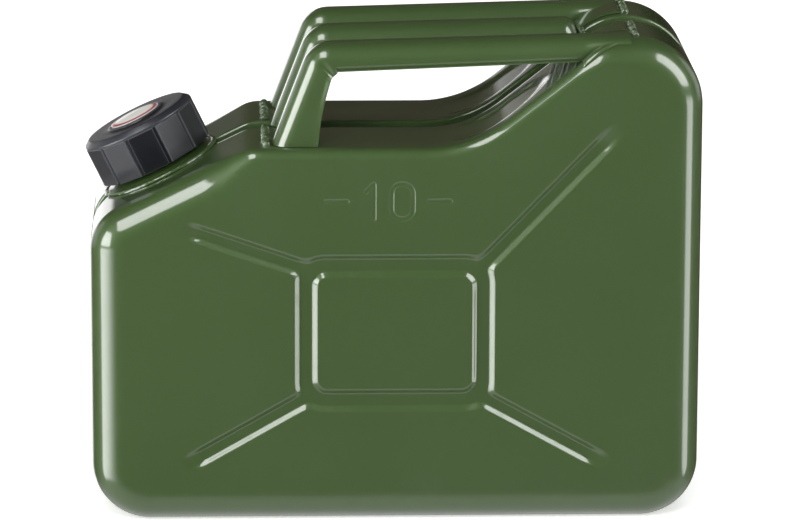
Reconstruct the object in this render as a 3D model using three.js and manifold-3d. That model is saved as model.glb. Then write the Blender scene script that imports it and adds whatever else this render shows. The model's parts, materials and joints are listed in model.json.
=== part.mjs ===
// A ten-litre steel jerry can with a plastic screw cap, as three.js meshes.
// Millimetres, +Z up. X runs along the can with the neck towards -X, and Y is its depth.
// Two pressed half shells meet in a groove all round. Three channel bars make the handle.
// The cap and everything on the neck is drawn upright and then turned onto the neck's axis.

import * as THREE from "three";
import { mergeVertices } from "three/addons/utils/BufferGeometryUtils.js";
import Module from "manifold-3d";

const wasm = await Module();
wasm.setup();

// ---- Driving dimensions -------------------------------------------------------------------

const steel = 1; // sheet of the half shells
const gap = 0.3; // clearance between pieces that touch

const length = 345;
const depth = 150;
const height = 277.5; // top of the tall shoulder
const handHeight = 216.5; // flat top under the hand
const shoulderRun = 90.5; // from the front side to where the shoulder meets the hand flat

const degree = Math.PI / 180;
const shoulderAngle = 26 * degree; // fall of the shoulder that carries the neck
const riseAngle = 38 * degree; // climb from the hand flat to the tall shoulder
const bottomRadius = 33;
const spoutRadius = 25; // corner between the shoulder and the front side
const tallRadius = 39;
const riseRadius = 70; // hollow between the hand flat and the climb
const breakRadius = 24;

const edgeRadius = 19; // between the faces and the sides
const handEdgeRadius = 7; // the same edge along the hand recess

const grooveHalf = 8; // half the width of the seam groove
const grooveDepth = 10;
const grooveEdge = 2; // rounding of the groove's edges
const lipHeight = 5; // the two lips that stand in the groove and are welded
const seamBead = 1.5; // half the width of the seam weld

const pressDepth = 2.5; // depth of the bands pressed into the faces
const pressRamp = 3; // width of a band's sloping side
const pressBand = 10; // width of a band at the face
const panel = { x: -1, z: 111, width: 90, height: 68, corner: 7 };
const armMargin = { side: 54.5, bottom: 35, underBreak: 45.5, underTop: 50.5, tallSide: 49.5 };

const barSteel = 1.2;
const barWidth = 27;
const barInset = 7.5; // from a face to the outer side of a bar
const barRounding = 11.5; // long edges of a bar
const barFrontDrop = 3.3; // the crest's fall from the tall shoulder to above the legs
const barFrontRadius = 18;
const barLap = 11; // outer bars past the top of the climb
const centreShort = 14; // rounded tip of the middle bar before the top of the climb
const sideDepthFront = 15.8; // height of a bar's side behind the leg
const sideDepthRear = 13.6; // the same at the rear
const legBehindBreak = 12; // foot of the legs behind the break of the shoulder
const legLean = 22; // how far a leg leans back over its height
const legWidthFoot = 26;
const legWidthTop = 12;
const lapPlateLength = 27; // plates that lap onto the tall shoulder
const lapClear = 1.5; // from a plate to the middle bar's side

const neckAlong = 56.7; // from the break down the shoulder to the neck's axis
const neckRadius = 26;
const neckWall = 1.6;
const neckHeight = 25.3;
const neckTail = 6; // spigot inside the shell
const skirtFlare = 7; // fillet from the neck out to the skirt's rim
const skirtThick = 1.2;
const padMargin = 2; // round the skirt, where the shells meet without a groove
const grooveFade = { from: -4, to: 6 }; // where the groove runs out, past the pad's radius
const shoulderCut = 9; // spacing of the outline's points along the shoulder

const threadPitch = 5;
const threadTurns = 2;
const threadRound = 1.25; // radius of the round thread ridge
const threadBury = 0.3; // how far the ridge's middle lies outside or inside its wall
const threadStart = 10;
const threadPlay = 0.8; // between the neck's ridge crest and the cap's wall, and the reverse

const capWall = 5.6; // from the inside of the cap to its grips
const capLift = 5.5; // underside of the cap above the shoulder
const capSide = 24; // straight height of the grips
const capBevel = { across: 3.5, up: 3 };
const capRoof = 3;
const gripCount = 12;
const gripGroove = { width: 2.4, depth: 1.3 };
const gripTurn = 2 * degree;
const gasket = { thick: 2, inside: 1, outside: 1.2 }; // its overlap past the neck's lip
const disc = { thick: 1.3, dish: 1.5, rim: 8 };
const label = { radius: 15, thick: 0.8, dome: 1.6, boss: 1 };

const tubeRadius = 4;
const tubeWall = 0.8;
const tubeOffBore = 2.4; // from the bore to the tube
const tubeClear = 3; // from the tube to the underside of the groove
const clip = { beforeRise: 37, width: 10, thick: 1.4, play: 0.6 };

const beadRadius = 2.8; // handle welds
const neckBead = { across: 2.6, up: 1.8 };

// ---- Places worked out from them ----------------------------------------------------------

const halfLength = length / 2;
const halfDepth = depth / 2;
const breakX = -halfLength + shoulderRun;
const neckFoot = {
  x: breakX - neckAlong * Math.cos(shoulderAngle),
  z: handHeight - neckAlong * Math.sin(shoulderAngle),
};
const tallX = halfLength - tallRadius * (1 + Math.tan(riseAngle / 2)); // top of the climb
const riseFootX = tallX - (height - handHeight) / Math.tan(riseAngle);
const armEnds = [
  { x: -halfLength + armMargin.side, z: handHeight - armMargin.underBreak },
  { x: halfLength - armMargin.tallSide, z: height - armMargin.underTop },
  { x: halfLength - armMargin.side, z: armMargin.bottom },
  { x: -halfLength + armMargin.side, z: armMargin.bottom },
];
const barPitch = halfDepth - barInset - barWidth / 2; // from one bar's middle to the next
const legFootX = breakX + legBehindBreak;
const barFront = { x: legFootX + legLean, z: height - barFrontDrop };
const barEndX = tallX + barLap;
const centreEndX = tallX - centreShort;
const lapFrontX = barEndX - lapPlateLength;
const lapInner = barWidth / 2 + lapClear;
const clipX = riseFootX - clip.beforeRise;
const crestRear = height + gap + barSteel;
const crestSlope = (crestRear - barFront.z) / (barEndX - barFront.x);
const skirtRadius = neckRadius + skirtFlare;
const padRadius = skirtRadius + padMargin;
const tubeInset = neckRadius - neckWall - tubeOffBore - tubeRadius;
const capInner = neckRadius + threadBury + threadRound + threadPlay;
const capRadius = capInner + capWall;
const discRadius = capInner - gap;
const dishRadius = discRadius - disc.rim;
const gasketFoot = neckHeight + gap;
const discFoot = gasketFoot + gasket.thick + gap;
const capTop = capLift + capSide + capBevel.up;

// The side view of the can, anticlockwise, each corner with its rounding. The straight after a
// corner is cut into lengths where the edge or the groove changes along it.
const profile = [
  { x: -halfLength, z: 0, r: bottomRadius },
  { x: halfLength, z: 0, r: bottomRadius },
  { x: halfLength, z: height, r: tallRadius },
  { x: tallX, z: height, r: tallRadius, cut: 24 },
  { x: riseFootX, z: handHeight, r: riseRadius, cut: 24 },
  { x: breakX, z: handHeight, r: breakRadius, cut: shoulderCut },
  {
    x: -halfLength,
    z: handHeight - (halfLength + breakX) * Math.tan(shoulderAngle),
    r: spoutRadius,
  },
];

// ---- Helpers ------------------------------------------------------------------------------

const mix = (a, b, t) => a + (b - a) * t;
const smooth = (low, high, value) => THREE.MathUtils.smoothstep(value, low, high);

// A closed mesh as a manifold-3d solid, with its faces pointing out.
function solid(geometry) {
  const bare = new THREE.BufferGeometry();
  const source = geometry.index ? geometry.toNonIndexed() : geometry;
  bare.setAttribute("position", source.getAttribute("position"));
  const merged = mergeVertices(bare, 1e-3);
  const build = (triVerts) =>
    new wasm.Manifold(
      new wasm.Mesh({
        numProp: 3,
        vertProperties: merged.getAttribute("position").array,
        triVerts,
      }),
    );
  const corners = Uint32Array.from(merged.index.array);
  const made = build(corners);
  return made.volume() > 0 ? made : build(corners.reverse());
}

function geometryOf(manifold) {
  const { vertProperties, triVerts } = manifold.getMesh();
  const geometry = new THREE.BufferGeometry();
  geometry.setAttribute(
    "position",
    new THREE.Float32BufferAttribute(vertProperties, 3),
  );
  geometry.setIndex(Array.from(triVerts));
  return geometry.toNonIndexed();
}

// Moves every side of a cornered outline inwards and keeps its roundings concentric.
function insetCorners(corners, inset) {
  const count = corners.length;
  return corners.map((corner, i) => {
    const before = corners[(i + count - 1) % count];
    const after = corners[(i + 1) % count];
    const into = new THREE.Vector2(corner.x - before.x, corner.z - before.z).normalize();
    const out = new THREE.Vector2(after.x - corner.x, after.z - corner.z).normalize();
    const shift = inset / (1 + into.dot(out));
    const turn = Math.sign(into.cross(out));
    return {
      x: corner.x - (into.y + out.y) * shift,
      z: corner.z + (into.x + out.x) * shift,
      r: Math.max(corner.r - turn * inset, 0.5),
    };
  });
}

const outlineStep = 15 * degree; // finest turn between two points of an outline

// Points with inward normals along a cornered outline: arcs at the corners, and straights that
// may be cut into shorter lengths.
function trace(corners, arcStep = outlineStep) {
  const points = [];
  const add = (x, z, nx, nz) => {
    const last = points[points.length - 1];
    if (!last || Math.hypot(last.x - x, last.z - z) > 0.01) points.push({ x, z, nx, nz });
  };
  const count = corners.length;
  let start = null;
  for (let i = 0; i <= count; i += 1) {
    const corner = corners[i % count];
    const before = corners[(i + count - 1) % count];
    const after = corners[(i + 1) % count];
    const into = new THREE.Vector2(corner.x - before.x, corner.z - before.z).normalize();
    const out = new THREE.Vector2(after.x - corner.x, after.z - corner.z).normalize();
    const turn = Math.atan2(into.cross(out), into.dot(out));
    const reach = corner.r * Math.tan(Math.abs(turn) / 2);
    const arcStart = {
      x: corner.x - into.x * reach,
      z: corner.z - into.y * reach,
    };
    if (start) {
      const run = Math.hypot(arcStart.x - start.x, arcStart.z - start.z);
      const pieces = before.cut ? Math.ceil(run / before.cut) : 1;
      for (let j = 1; j < pieces; j += 1) {
        const t = j / pieces;
        add(mix(start.x, arcStart.x, t), mix(start.z, arcStart.z, t), -into.y, into.x);
      }
    }
    if (i === count) break;
    const side = Math.sign(turn);
    const centre = {
      x: arcStart.x - into.y * corner.r * side,
      z: arcStart.z + into.x * corner.r * side,
    };
    const steps = Math.max(2, Math.ceil(Math.abs(turn) / arcStep));
    for (let j = 0; j <= steps; j += 1) {
      const normal = new THREE.Vector2(-into.y, into.x).rotateAround(
        new THREE.Vector2(),
        (turn * j) / steps,
      );
      add(
        centre.x - normal.x * corner.r * side,
        centre.z - normal.y * corner.r * side,
        normal.x,
        normal.y,
      );
    }
    start = { x: corner.x + out.x * reach, z: corner.z + out.y * reach };
  }
  const first = points[0];
  const last = points[points.length - 1];
  if (Math.hypot(last.x - first.x, last.z - first.z) < 0.01) points.pop();
  return points;
}

const shapeOf = (points) =>
  new THREE.Shape(points.map(({ x, z }) => new THREE.Vector2(x, z)));

// Extrudes an XZ outline along Y, from yLow to yHigh. The rounding eats into that space.
function slab(corners, yLow, yHigh, { round = 0, segments = 3, inset = 0 } = {}) {
  const points = trace(insetCorners(corners, inset + round));
  const geometry = new THREE.ExtrudeGeometry(shapeOf(points), {
    depth: yHigh - yLow - 2 * round,
    bevelEnabled: round > 0,
    bevelThickness: round,
    bevelSize: round,
    bevelSegments: segments,
  });
  geometry.rotateX(Math.PI / 2);
  geometry.translate(0, yHigh - round, 0);
  return solid(geometry);
}

const cornersOfBox = (xLow, xHigh, zLow, zHigh, r = 0.5) => [
  { x: xLow, z: zLow, r },
  { x: xHigh, z: zLow, r },
  { x: xHigh, z: zHigh, r },
  { x: xLow, z: zHigh, r },
];

// Turns a shape round the Z axis from a closed list of [radius, height] pairs.
function turned(pairs, segments = 36) {
  const points = [...pairs, pairs[0]].map(([r, h]) => new THREE.Vector2(r, h));
  const geometry = new THREE.LatheGeometry(points, segments);
  geometry.rotateX(Math.PI / 2);
  return solid(geometry);
}

// Stands a solid that was drawn upright round Z on the neck's foot, along the neck's axis.
const neckFrame = new THREE.Group();
neckFrame.position.set(neckFoot.x, 0, neckFoot.z);
neckFrame.rotation.y = -shoulderAngle;
neckFrame.updateMatrix();
const onNeck = (manifold) => solid(geometryOf(manifold).applyMatrix4(neckFrame.matrix));

// ---- The can's outer form -----------------------------------------------------------------

const canOutline = trace(profile);

// The edge radius is small along the hand recess and grows to the full one at both its ends.
function edgeAt({ x, z }) {
  const onTop = smooth(handHeight - 60, handHeight - 30, z);
  const alongHand =
    smooth(breakX - 30, breakX + 7, x) * (1 - smooth(tallX - 22, tallX + 20, x));
  return mix(edgeRadius, handEdgeRadius, onTop * alongHand);
}

// The groove runs out before it reaches the neck's pad.
function grooveAt({ x, z }) {
  const away = Math.hypot(x - neckFoot.x, z - neckFoot.z);
  return Math.max(0.04, smooth(padRadius + grooveFade.from, padRadius + grooveFade.to, away));
}

// One closed body whose cross-sections along Y all follow the can's outline. Each layer gives
// its own place along Y and how far it lies inside the outline, for every outline point.
function layered(layers) {
  const key = (x, z) => `${x.toFixed(3)} ${z.toFixed(3)}`;
  const lookup = new Map(canOutline.map((point) => [key(point.x, point.z), point]));
  const geometry = new THREE.ExtrudeGeometry(shapeOf(canOutline), {
    depth: layers.length - 1,
    steps: layers.length - 1,
    bevelEnabled: false,
  });
  const position = geometry.getAttribute("position");
  for (let i = 0; i < position.count; i += 1) {
    const point = lookup.get(key(position.getX(i), position.getY(i)));
    const { y, inset } = layers[Math.round(position.getZ(i))](point);
    position.setXYZ(i, point.x + point.nx * inset, y, point.z + point.nz * inset);
  }
  return solid(geometry);
}

const roundSteps = 4;

// Layers round the edge between a face and the sides, from the face (0) to the sides.
const edgeLayers = (side, inset) =>
  Array.from({ length: roundSteps + 1 }, (_, i) => (point) => {
    const angle = (i / roundSteps) * (Math.PI / 2);
    const radius = edgeAt(point) - inset;
    return {
      y: side * (halfDepth - inset - radius * (1 - Math.cos(angle))),
      inset: inset + radius * (1 - Math.sin(angle)),
    };
  });

// The can's whole volume without its groove, moved in by inset (out when it is negative).
const canVolume = (inset) =>
  layered([...edgeLayers(-1, inset), ...edgeLayers(1, inset).reverse()]);

// ---- Half shells --------------------------------------------------------------------------

// The bands pressed into a face: a ring round a panel, with four arms from its corners.
function pressedBands(side, grow) {
  const rampWidth = pressRamp * (1 + grow / pressDepth);
  const options = {
    depth: 4,
    bevelEnabled: true,
    bevelThickness: pressDepth + grow,
    bevelSize: rampWidth,
    bevelSegments: 1,
  };
  const place = (shape) => {
    const geometry = new THREE.ExtrudeGeometry(shape, options);
    geometry.rotateX(Math.PI / 2);
    geometry.translate(0, side > 0 ? halfDepth + options.depth : -halfDepth, 0);
    return solid(geometry);
  };
  const floorHalf = pressBand / 2 - pressRamp + grow / 2;
  const ringRect = (offset) =>
    insetCorners(
      cornersOfBox(
        panel.x - panel.width / 2,
        panel.x + panel.width / 2,
        panel.z - panel.height / 2,
        panel.z + panel.height / 2,
        panel.corner,
      ),
      -offset,
    );
  const middle = pressBand / 2;
  const ring = shapeOf(trace(ringRect(middle + floorHalf), 45 * degree));
  ring.holes.push(
    new THREE.Path(
      trace(ringRect(middle - floorHalf), 45 * degree).map(
        ({ x, z }) => new THREE.Vector2(x, z),
      ),
    ),
  );
  const arms = armEnds.map((end) => {
    const start = {
      x: panel.x + Math.sign(end.x) * (panel.width / 2 + middle - 1),
      z: panel.z + Math.sign(end.z - panel.z) * (panel.height / 2 + middle - 1),
    };
    const angle = Math.atan2(end.z - start.z, end.x - start.x);
    const arm = new THREE.Shape();
    arm.absarc(start.x, start.z, floorHalf, angle + Math.PI / 2, angle - Math.PI / 2, false);
    arm.absarc(end.x, end.z, floorHalf, angle - Math.PI / 2, angle + Math.PI / 2, false);
    return place(new THREE.Shape(arm.getPoints(2)));
  });
  return arms.reduce((all, arm) => all.add(arm), place(ring));
}

function halfShell(side) {
  const seam = gap / 2;
  const layer = (away, inset) => (point) => ({
    y: side * away,
    inset: inset(grooveAt(point)),
  });
  const wall = steel;
  const shell = layered([
    ...edgeLayers(side, 0),
    layer(grooveHalf + grooveEdge, () => 0),
    layer(grooveHalf, (groove) => grooveEdge * groove),
    layer(grooveHalf, (groove) => grooveDepth * groove),
    layer(seam + wall, (groove) => grooveDepth * groove),
    layer(seam + wall, (groove) => (grooveDepth - lipHeight) * groove),
    layer(seam, (groove) => (grooveDepth - lipHeight) * groove),
    layer(seam, (groove) => grooveDepth * groove + wall),
    layer(grooveHalf + wall, (groove) => grooveDepth * groove + wall),
    layer(grooveHalf + wall, (groove) => grooveEdge * groove + wall),
    layer(grooveHalf + grooveEdge + wall, () => wall),
    ...edgeLayers(side, wall).reverse(),
  ]);
  const reach = neckHeight + neckTail;
  const hole = turned([
    [0, -reach],
    [neckRadius + gap, -reach],
    [neckRadius + gap, reach],
    [0, reach],
  ]);
  const faceBox = slab(
    cornersOfBox(-halfLength, halfLength, 0, height),
    side > 0 ? halfDepth - pressDepth * 2 : -halfDepth + 0.4,
    side > 0 ? halfDepth - 0.4 : -halfDepth + pressDepth * 2,
  );
  return shell
    .add(pressedBands(side, steel).intersect(faceBox))
    .subtract(pressedBands(side, 0))
    .subtract(onNeck(hole));
}

// The bead on top of the two lips, open where the neck's pad interrupts the groove.
function seamWeld() {
  const outer = grooveDepth - lipHeight - gap - seamBead;
  const ring = slab(profile, -seamBead, seamBead, { inset: outer }).subtract(
    slab(profile, -2 * seamBead, 2 * seamBead, { inset: outer + seamBead }),
  );
  const reach = neckHeight * 2;
  const clearOf = padRadius + grooveFade.to + shoulderCut / 2;
  const pad = turned([
    [0, -reach],
    [clearOf, -reach],
    [clearOf, reach],
    [0, reach],
  ]);
  return ring.subtract(onNeck(pad));
}

// ---- Handle -------------------------------------------------------------------------------

const crestAt = (x) => barFront.z + (x - barFront.x) * crestSlope;
const legSlope = (barFront.z - handHeight) / (barFront.x - legFootX);

// The outer skin of a bar, or its hollow, which runs out below and behind.
function barSkin(y, endX, tipRadius, inset) {
  const below = handHeight - 30 - 4 * inset;
  const corners = [
    { x: legFootX - (handHeight - below) / legSlope, z: below, r: 0.5 },
    { x: endX, z: below, r: 0.5 },
    { x: endX, z: crestAt(endX), r: tipRadius },
    { x: barFront.x, z: barFront.z, r: barFrontRadius },
  ];
  const half = barWidth / 2;
  return slab(corners, y - half + inset, y + half - inset, {
    round: barRounding - inset,
    inset,
  });
}

// What is left of a bar when it is seen from the side.
function barWindow(y, endX) {
  const low = handHeight - 20;
  const legTopX = barFront.x + legWidthTop;
  const corners = [
    { x: legFootX - 30, z: low, r: 1 },
    { x: legFootX + legWidthFoot, z: low, r: 1 },
    { x: legFootX + legWidthFoot, z: handHeight, r: 1 },
    { x: legTopX, z: crestAt(legTopX) - sideDepthFront - 1, r: 4 },
    { x: legTopX + 4, z: crestAt(legTopX) - sideDepthFront, r: 4 },
    { x: endX + 5, z: crestAt(endX) - sideDepthRear, r: 1 },
    { x: endX + 5, z: height + 20, r: 1 },
    { x: legFootX - 30, z: height + 20, r: 1 },
  ];
  return slab(corners, y - barWidth, y + barWidth);
}

const canWithGap = canVolume(-gap);

function handleBar(y, endX, tipRadius) {
  return barSkin(y, endX, tipRadius, 0)
    .subtract(barSkin(y, endX, Math.max(tipRadius - barSteel, 0.5), barSteel))
    .intersect(barWindow(y, endX))
    .subtract(canWithGap);
}

// The plate behind an outer bar, which follows the top of the tall shoulder.
function lapPlate(side) {
  const outer = barPitch + barWidth / 2 - barRounding / 2;
  const zone = slab(
    cornersOfBox(lapFrontX, barEndX, handHeight, height + 10),
    side > 0 ? lapInner : -outer,
    side > 0 ? outer : -lapInner,
  );
  return canVolume(-gap - barSteel).subtract(canWithGap).intersect(zone);
}

const outerBar = (side) => handleBar(side * barPitch, barEndX, 0.5).add(lapPlate(side));
const centreBar = () => handleBar(0, centreEndX, 9);

// A straight weld bead across the can, lying on its surface.
function crossBead(x, z, yLow, yHigh, radius = beadRadius) {
  const corners = cornersOfBox(x - radius, x + radius, z - radius, z + radius, radius * 0.9);
  return slab(corners, yLow, yHigh).subtract(canWithGap);
}

// ---- Neck ---------------------------------------------------------------------------------

class Helix extends THREE.Curve {
  constructor(radius, start, turns) {
    super();
    Object.assign(this, { radius, start, turns });
  }

  getPoint(t, target = new THREE.Vector3()) {
    const angle = t * this.turns * 2 * Math.PI;
    return target.set(
      this.radius * Math.cos(angle),
      this.radius * Math.sin(angle),
      this.start + t * this.turns * threadPitch,
    );
  }
}

function threadRidge(radius, start) {
  const section = new THREE.Shape();
  section.absarc(0, 0, threadRound, 0, 2 * Math.PI);
  const geometry = new THREE.ExtrudeGeometry(new THREE.Shape(section.getPoints(3)), {
    steps: 24 * threadTurns,
    bevelEnabled: false,
    extrudePath: new Helix(radius, start, threadTurns),
  });
  return solid(geometry);
}

function neckCollar() {
  const bore = neckRadius - neckWall;
  const fillet = skirtFlare;
  const curve = Array.from({ length: 5 }, (_, i) => {
    const angle = (i / 4) * (Math.PI / 2);
    return [
      skirtRadius - fillet * Math.sin(angle),
      gap + skirtThick + fillet * (1 - Math.cos(angle)),
    ];
  });
  const collar = turned([
    [bore, -neckTail],
    [neckRadius, -neckTail],
    [neckRadius, gap],
    [skirtRadius, gap],
    ...curve,
    [neckRadius, neckHeight],
    [bore, neckHeight],
  ]);
  return onNeck(collar.add(threadRidge(neckRadius + threadBury, threadStart)));
}

function neckWeld() {
  const inner = skirtRadius + gap;
  const bead = turned([
    [inner, gap],
    [inner + neckBead.across, gap],
    [inner + neckBead.across * 0.6, gap + neckBead.up * 0.7],
    [inner, gap + neckBead.up],
  ]);
  return onNeck(bead).subtract(canWithGap);
}

// Lets air in behind the fuel while it pours: from the neck to the space under the shoulder.
function breatherRoute() {
  const along = (radial, axial) =>
    new THREE.Vector3(
      neckFoot.x + radial * Math.cos(shoulderAngle) - axial * Math.sin(shoulderAngle),
      0,
      neckFoot.z + radial * Math.sin(shoulderAngle) + axial * Math.cos(shoulderAngle),
    );
  const below = grooveDepth + steel + tubeRadius + tubeClear;
  const ceiling = handHeight - below;
  const underRise = (x) =>
    new THREE.Vector3(
      x,
      0,
      handHeight + (x - riseFootX) * Math.tan(riseAngle) - below / Math.cos(riseAngle),
    );
  return new THREE.CatmullRomCurve3([
    along(tubeInset, neckHeight - 4),
    along(tubeInset, 0),
    along(tubeInset, -14),
    new THREE.Vector3(breakX + 4, 0, ceiling - 8),
    new THREE.Vector3(breakX + 40, 0, ceiling),
    new THREE.Vector3(clipX - clip.width, 0, ceiling),
    new THREE.Vector3(clipX + clip.width, 0, ceiling),
    underRise(riseFootX + 22),
    underRise(riseFootX + 42),
    underRise(riseFootX + 62),
  ]);
}

function breatherTube() {
  const ring = (radius) => {
    const path = new THREE.Path();
    path.absarc(0, 0, radius, 0, 2 * Math.PI);
    return path.getPoints(4);
  };
  const section = new THREE.Shape(ring(tubeRadius));
  section.holes.push(new THREE.Path(ring(tubeRadius - tubeWall)));
  return solid(
    new THREE.ExtrudeGeometry(section, {
      steps: 32,
      bevelEnabled: false,
      extrudePath: breatherRoute(),
    }),
  );
}

// A strap round the tube, hung from the underside of the groove.
function breatherClip() {
  const top = handHeight - grooveDepth - steel - gap;
  const centre = top + gap - tubeRadius - tubeClear;
  const inner = tubeRadius + clip.play;
  const outer = inner + clip.thick;
  const low = clipX - clip.width / 2;
  const place = (corners) => {
    const geometry = new THREE.ExtrudeGeometry(shapeOf(trace(corners, 30 * degree)), {
      depth: clip.width,
      bevelEnabled: false,
    });
    geometry.rotateX(Math.PI / 2);
    geometry.rotateZ(Math.PI / 2);
    geometry.translate(low, 0, 0);
    return solid(geometry);
  };
  const strap = place(cornersOfBox(-outer, outer, centre - outer, top, 1));
  const passage = place(
    cornersOfBox(-inner, inner, centre - inner, centre + inner, inner * 0.8),
  );
  return strap.subtract(passage);
}

// ---- Cap ----------------------------------------------------------------------------------

// The outline of the cap from above: flat grips with narrow grooves between them.
function gripShape() {
  const points = [];
  const pitch = (2 * Math.PI) / gripCount;
  const half = gripGroove.width / 2 / capRadius;
  const polar = (radius, angle) =>
    points.push(new THREE.Vector2(radius * Math.cos(angle), radius * Math.sin(angle)));
  for (let i = 0; i < gripCount; i += 1) {
    const middle = i * pitch + gripTurn;
    polar(capRadius - gripGroove.depth, middle - pitch / 2 + half);
    polar(capRadius, middle - pitch / 2 + half);
    polar(capRadius, middle + pitch / 2 - half);
    polar(capRadius - gripGroove.depth, middle + pitch / 2 - half);
  }
  return new THREE.Shape(points);
}

function capShell() {
  const prism = solid(
    new THREE.ExtrudeGeometry(gripShape(), {
      depth: capTop + label.boss - capLift,
      bevelEnabled: false,
    }).translate(0, 0, capLift),
  );
  const boss = label.radius + 1.5;
  const envelope = turned([
    [0, capLift - 1],
    [capRadius + 1, capLift - 1],
    [capRadius + 1, capLift + capSide - 1],
    [capRadius - capBevel.across, capTop],
    [boss + 1.5, capTop],
    [boss, capTop + label.boss],
    [0, capTop + label.boss],
  ]);
  const roof = capTop - capRoof;
  const hollow = turned([
    [0, capLift - 2],
    [capInner, capLift - 2],
    [capInner, roof],
    [0, roof],
  ]);
  const seat = capTop + label.boss - label.thick;
  const labelSeat = turned([
    [0, seat],
    [label.radius + gap, seat],
    [label.radius + gap, capTop + 10],
    [0, capTop + 10],
  ]);
  const ridgeRadius = capInner - threadBury;
  const ridge = threadRidge(ridgeRadius, threadStart - threadPitch / 2);
  const shell = prism.intersect(envelope).subtract(hollow).add(ridge).subtract(labelSeat);
  return onNeck(shell);
}

function capLabel() {
  const foot = capTop + label.boss - label.thick + gap;
  return onNeck(
    turned([
      [0, foot],
      [label.radius, foot],
      [label.radius, foot + label.thick],
      [label.radius * 0.7, foot + label.thick + label.dome * 0.5],
      [label.radius * 0.35, foot + label.thick + label.dome * 0.88],
      [0, foot + label.thick + label.dome],
    ]),
  );
}

function capGasket() {
  const inner = neckRadius - neckWall - gasket.inside;
  const outer = neckRadius + gasket.outside;
  return onNeck(
    turned([
      [inner, gasketFoot],
      [outer, gasketFoot],
      [outer, gasketFoot + gasket.thick],
      [inner, gasketFoot + gasket.thick],
    ]),
  );
}

// A pressed disc, dished downwards in the middle.
function capDisc() {
  const top = discFoot + disc.thick;
  return onNeck(
    turned([
      [0, discFoot - disc.dish],
      [dishRadius - disc.dish, discFoot - disc.dish],
      [dishRadius, discFoot],
      [discRadius, discFoot],
      [discRadius, top],
      [dishRadius, top],
      [dishRadius - disc.dish, top - disc.dish],
      [0, top - disc.dish],
    ]),
  );
}

// ---- Materials ----------------------------------------------------------------------------

const finish = (colour, roughness, metalness) =>
  new THREE.MeshStandardMaterial({ color: colour, roughness, metalness });

const enamel = finish("#3f5631", 0.18, 0.2);
const weldMetal = finish("#46573a", 0.45, 0.4);
const bareSteel = finish("#8d9092", 0.35, 0.9);
const blackPlastic = finish("#23252b", 0.5, 0);
const rubber = finish("#161616", 0.8, 0);
const printed = finish("#e8e6e0", 0.4, 0);

// ---- Assembly -----------------------------------------------------------------------------

const can = new THREE.Group();

function addPiece(name, manifold, material) {
  const geometry = geometryOf(manifold);
  geometry.computeVertexNormals();
  const mesh = new THREE.Mesh(geometry, material);
  mesh.name = name;
  can.add(mesh);
}

const footBeadX = legFootX - gap - beadRadius;
const rearBeadX = barEndX + gap + beadRadius;
const sides = [
  { name: "near", side: -1 },
  { name: "far", side: 1 },
];
for (const { name, side } of sides) {
  const span = (inner, outer) => (side > 0 ? [inner, outer] : [-outer, -inner]);
  addPiece(`${name}_half_shell`, halfShell(side), enamel);
  addPiece(`${name}_handle_bar`, outerBar(side), enamel);
  const acrossFeet = span(grooveHalf + grooveEdge, barPitch + barWidth / 2 - 4);
  addPiece(
    `${name}_front_weld`,
    crossBead(footBeadX, handHeight + 1, ...acrossFeet),
    weldMetal,
  );
  const acrossLap = span(lapInner, barPitch + 4);
  addPiece(`${name}_rear_weld`, crossBead(rearBeadX, height + 0.5, ...acrossLap), weldMetal);
}
addPiece("centre_handle_bar", centreBar(), enamel);
addPiece("seam_weld", seamWeld(), weldMetal);

const tipBeadX = centreEndX + gap + 2;
const tipSurface = handHeight + (tipBeadX - riseFootX) * Math.tan(riseAngle);
addPiece(
  "centre_rear_weld",
  crossBead(tipBeadX, tipSurface + 0.5, -lapInner + gap + 0.2, lapInner - gap - 0.2, 2),
  weldMetal,
);

addPiece("neck_collar", neckCollar(), enamel);
addPiece("neck_weld", neckWeld(), enamel);
addPiece("breather_tube", breatherTube(), bareSteel);
addPiece("breather_clip", breatherClip(), bareSteel);
addPiece("cap_shell", capShell(), blackPlastic);
addPiece("cap_label", capLabel(), printed);
addPiece("cap_gasket", capGasket(), rubber);
addPiece("cap_seal_disc", capDisc(), bareSteel);

// The origin is under the middle of the whole can, cap included, on the surface it stands on.
const box = new THREE.Box3().setFromObject(can);
can.position.x = -(box.min.x + box.max.x) / 2;

export default can;
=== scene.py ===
# %% [markdown]
# # A ten-litre steel jerry can with a plastic screw cap
#
# This lesson dresses a working CAD model. The frame holds the plain solids and says how they
# move, and every cell below replaces one of them with a finer mesh, or gives it a finish.
# X runs along the can, with the neck towards -X, Y is its depth, and +Z is up.
# Lengths are written in millimetres, as a workshop drawing would, and become metres only
# when a mesh is made.

import json
import math

import bmesh
import bpy
import numpy as np
from mathutils import Matrix, Vector
from mathutils.geometry import delaunay_2d_cdt


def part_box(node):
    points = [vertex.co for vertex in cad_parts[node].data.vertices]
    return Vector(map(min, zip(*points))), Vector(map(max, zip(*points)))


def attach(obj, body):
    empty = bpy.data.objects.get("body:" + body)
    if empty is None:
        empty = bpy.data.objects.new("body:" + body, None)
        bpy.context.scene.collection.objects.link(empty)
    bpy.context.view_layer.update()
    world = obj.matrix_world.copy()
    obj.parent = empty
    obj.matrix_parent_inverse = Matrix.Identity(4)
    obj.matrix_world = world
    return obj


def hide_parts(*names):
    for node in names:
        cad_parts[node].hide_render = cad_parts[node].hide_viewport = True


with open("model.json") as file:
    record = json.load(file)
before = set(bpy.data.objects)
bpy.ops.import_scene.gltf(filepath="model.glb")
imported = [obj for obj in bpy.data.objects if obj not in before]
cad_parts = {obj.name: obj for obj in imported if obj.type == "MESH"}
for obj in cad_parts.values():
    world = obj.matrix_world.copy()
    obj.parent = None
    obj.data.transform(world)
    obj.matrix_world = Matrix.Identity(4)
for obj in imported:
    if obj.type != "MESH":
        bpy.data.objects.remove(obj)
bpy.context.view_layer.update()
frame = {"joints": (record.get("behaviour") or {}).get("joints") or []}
MM = 0.001


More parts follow.
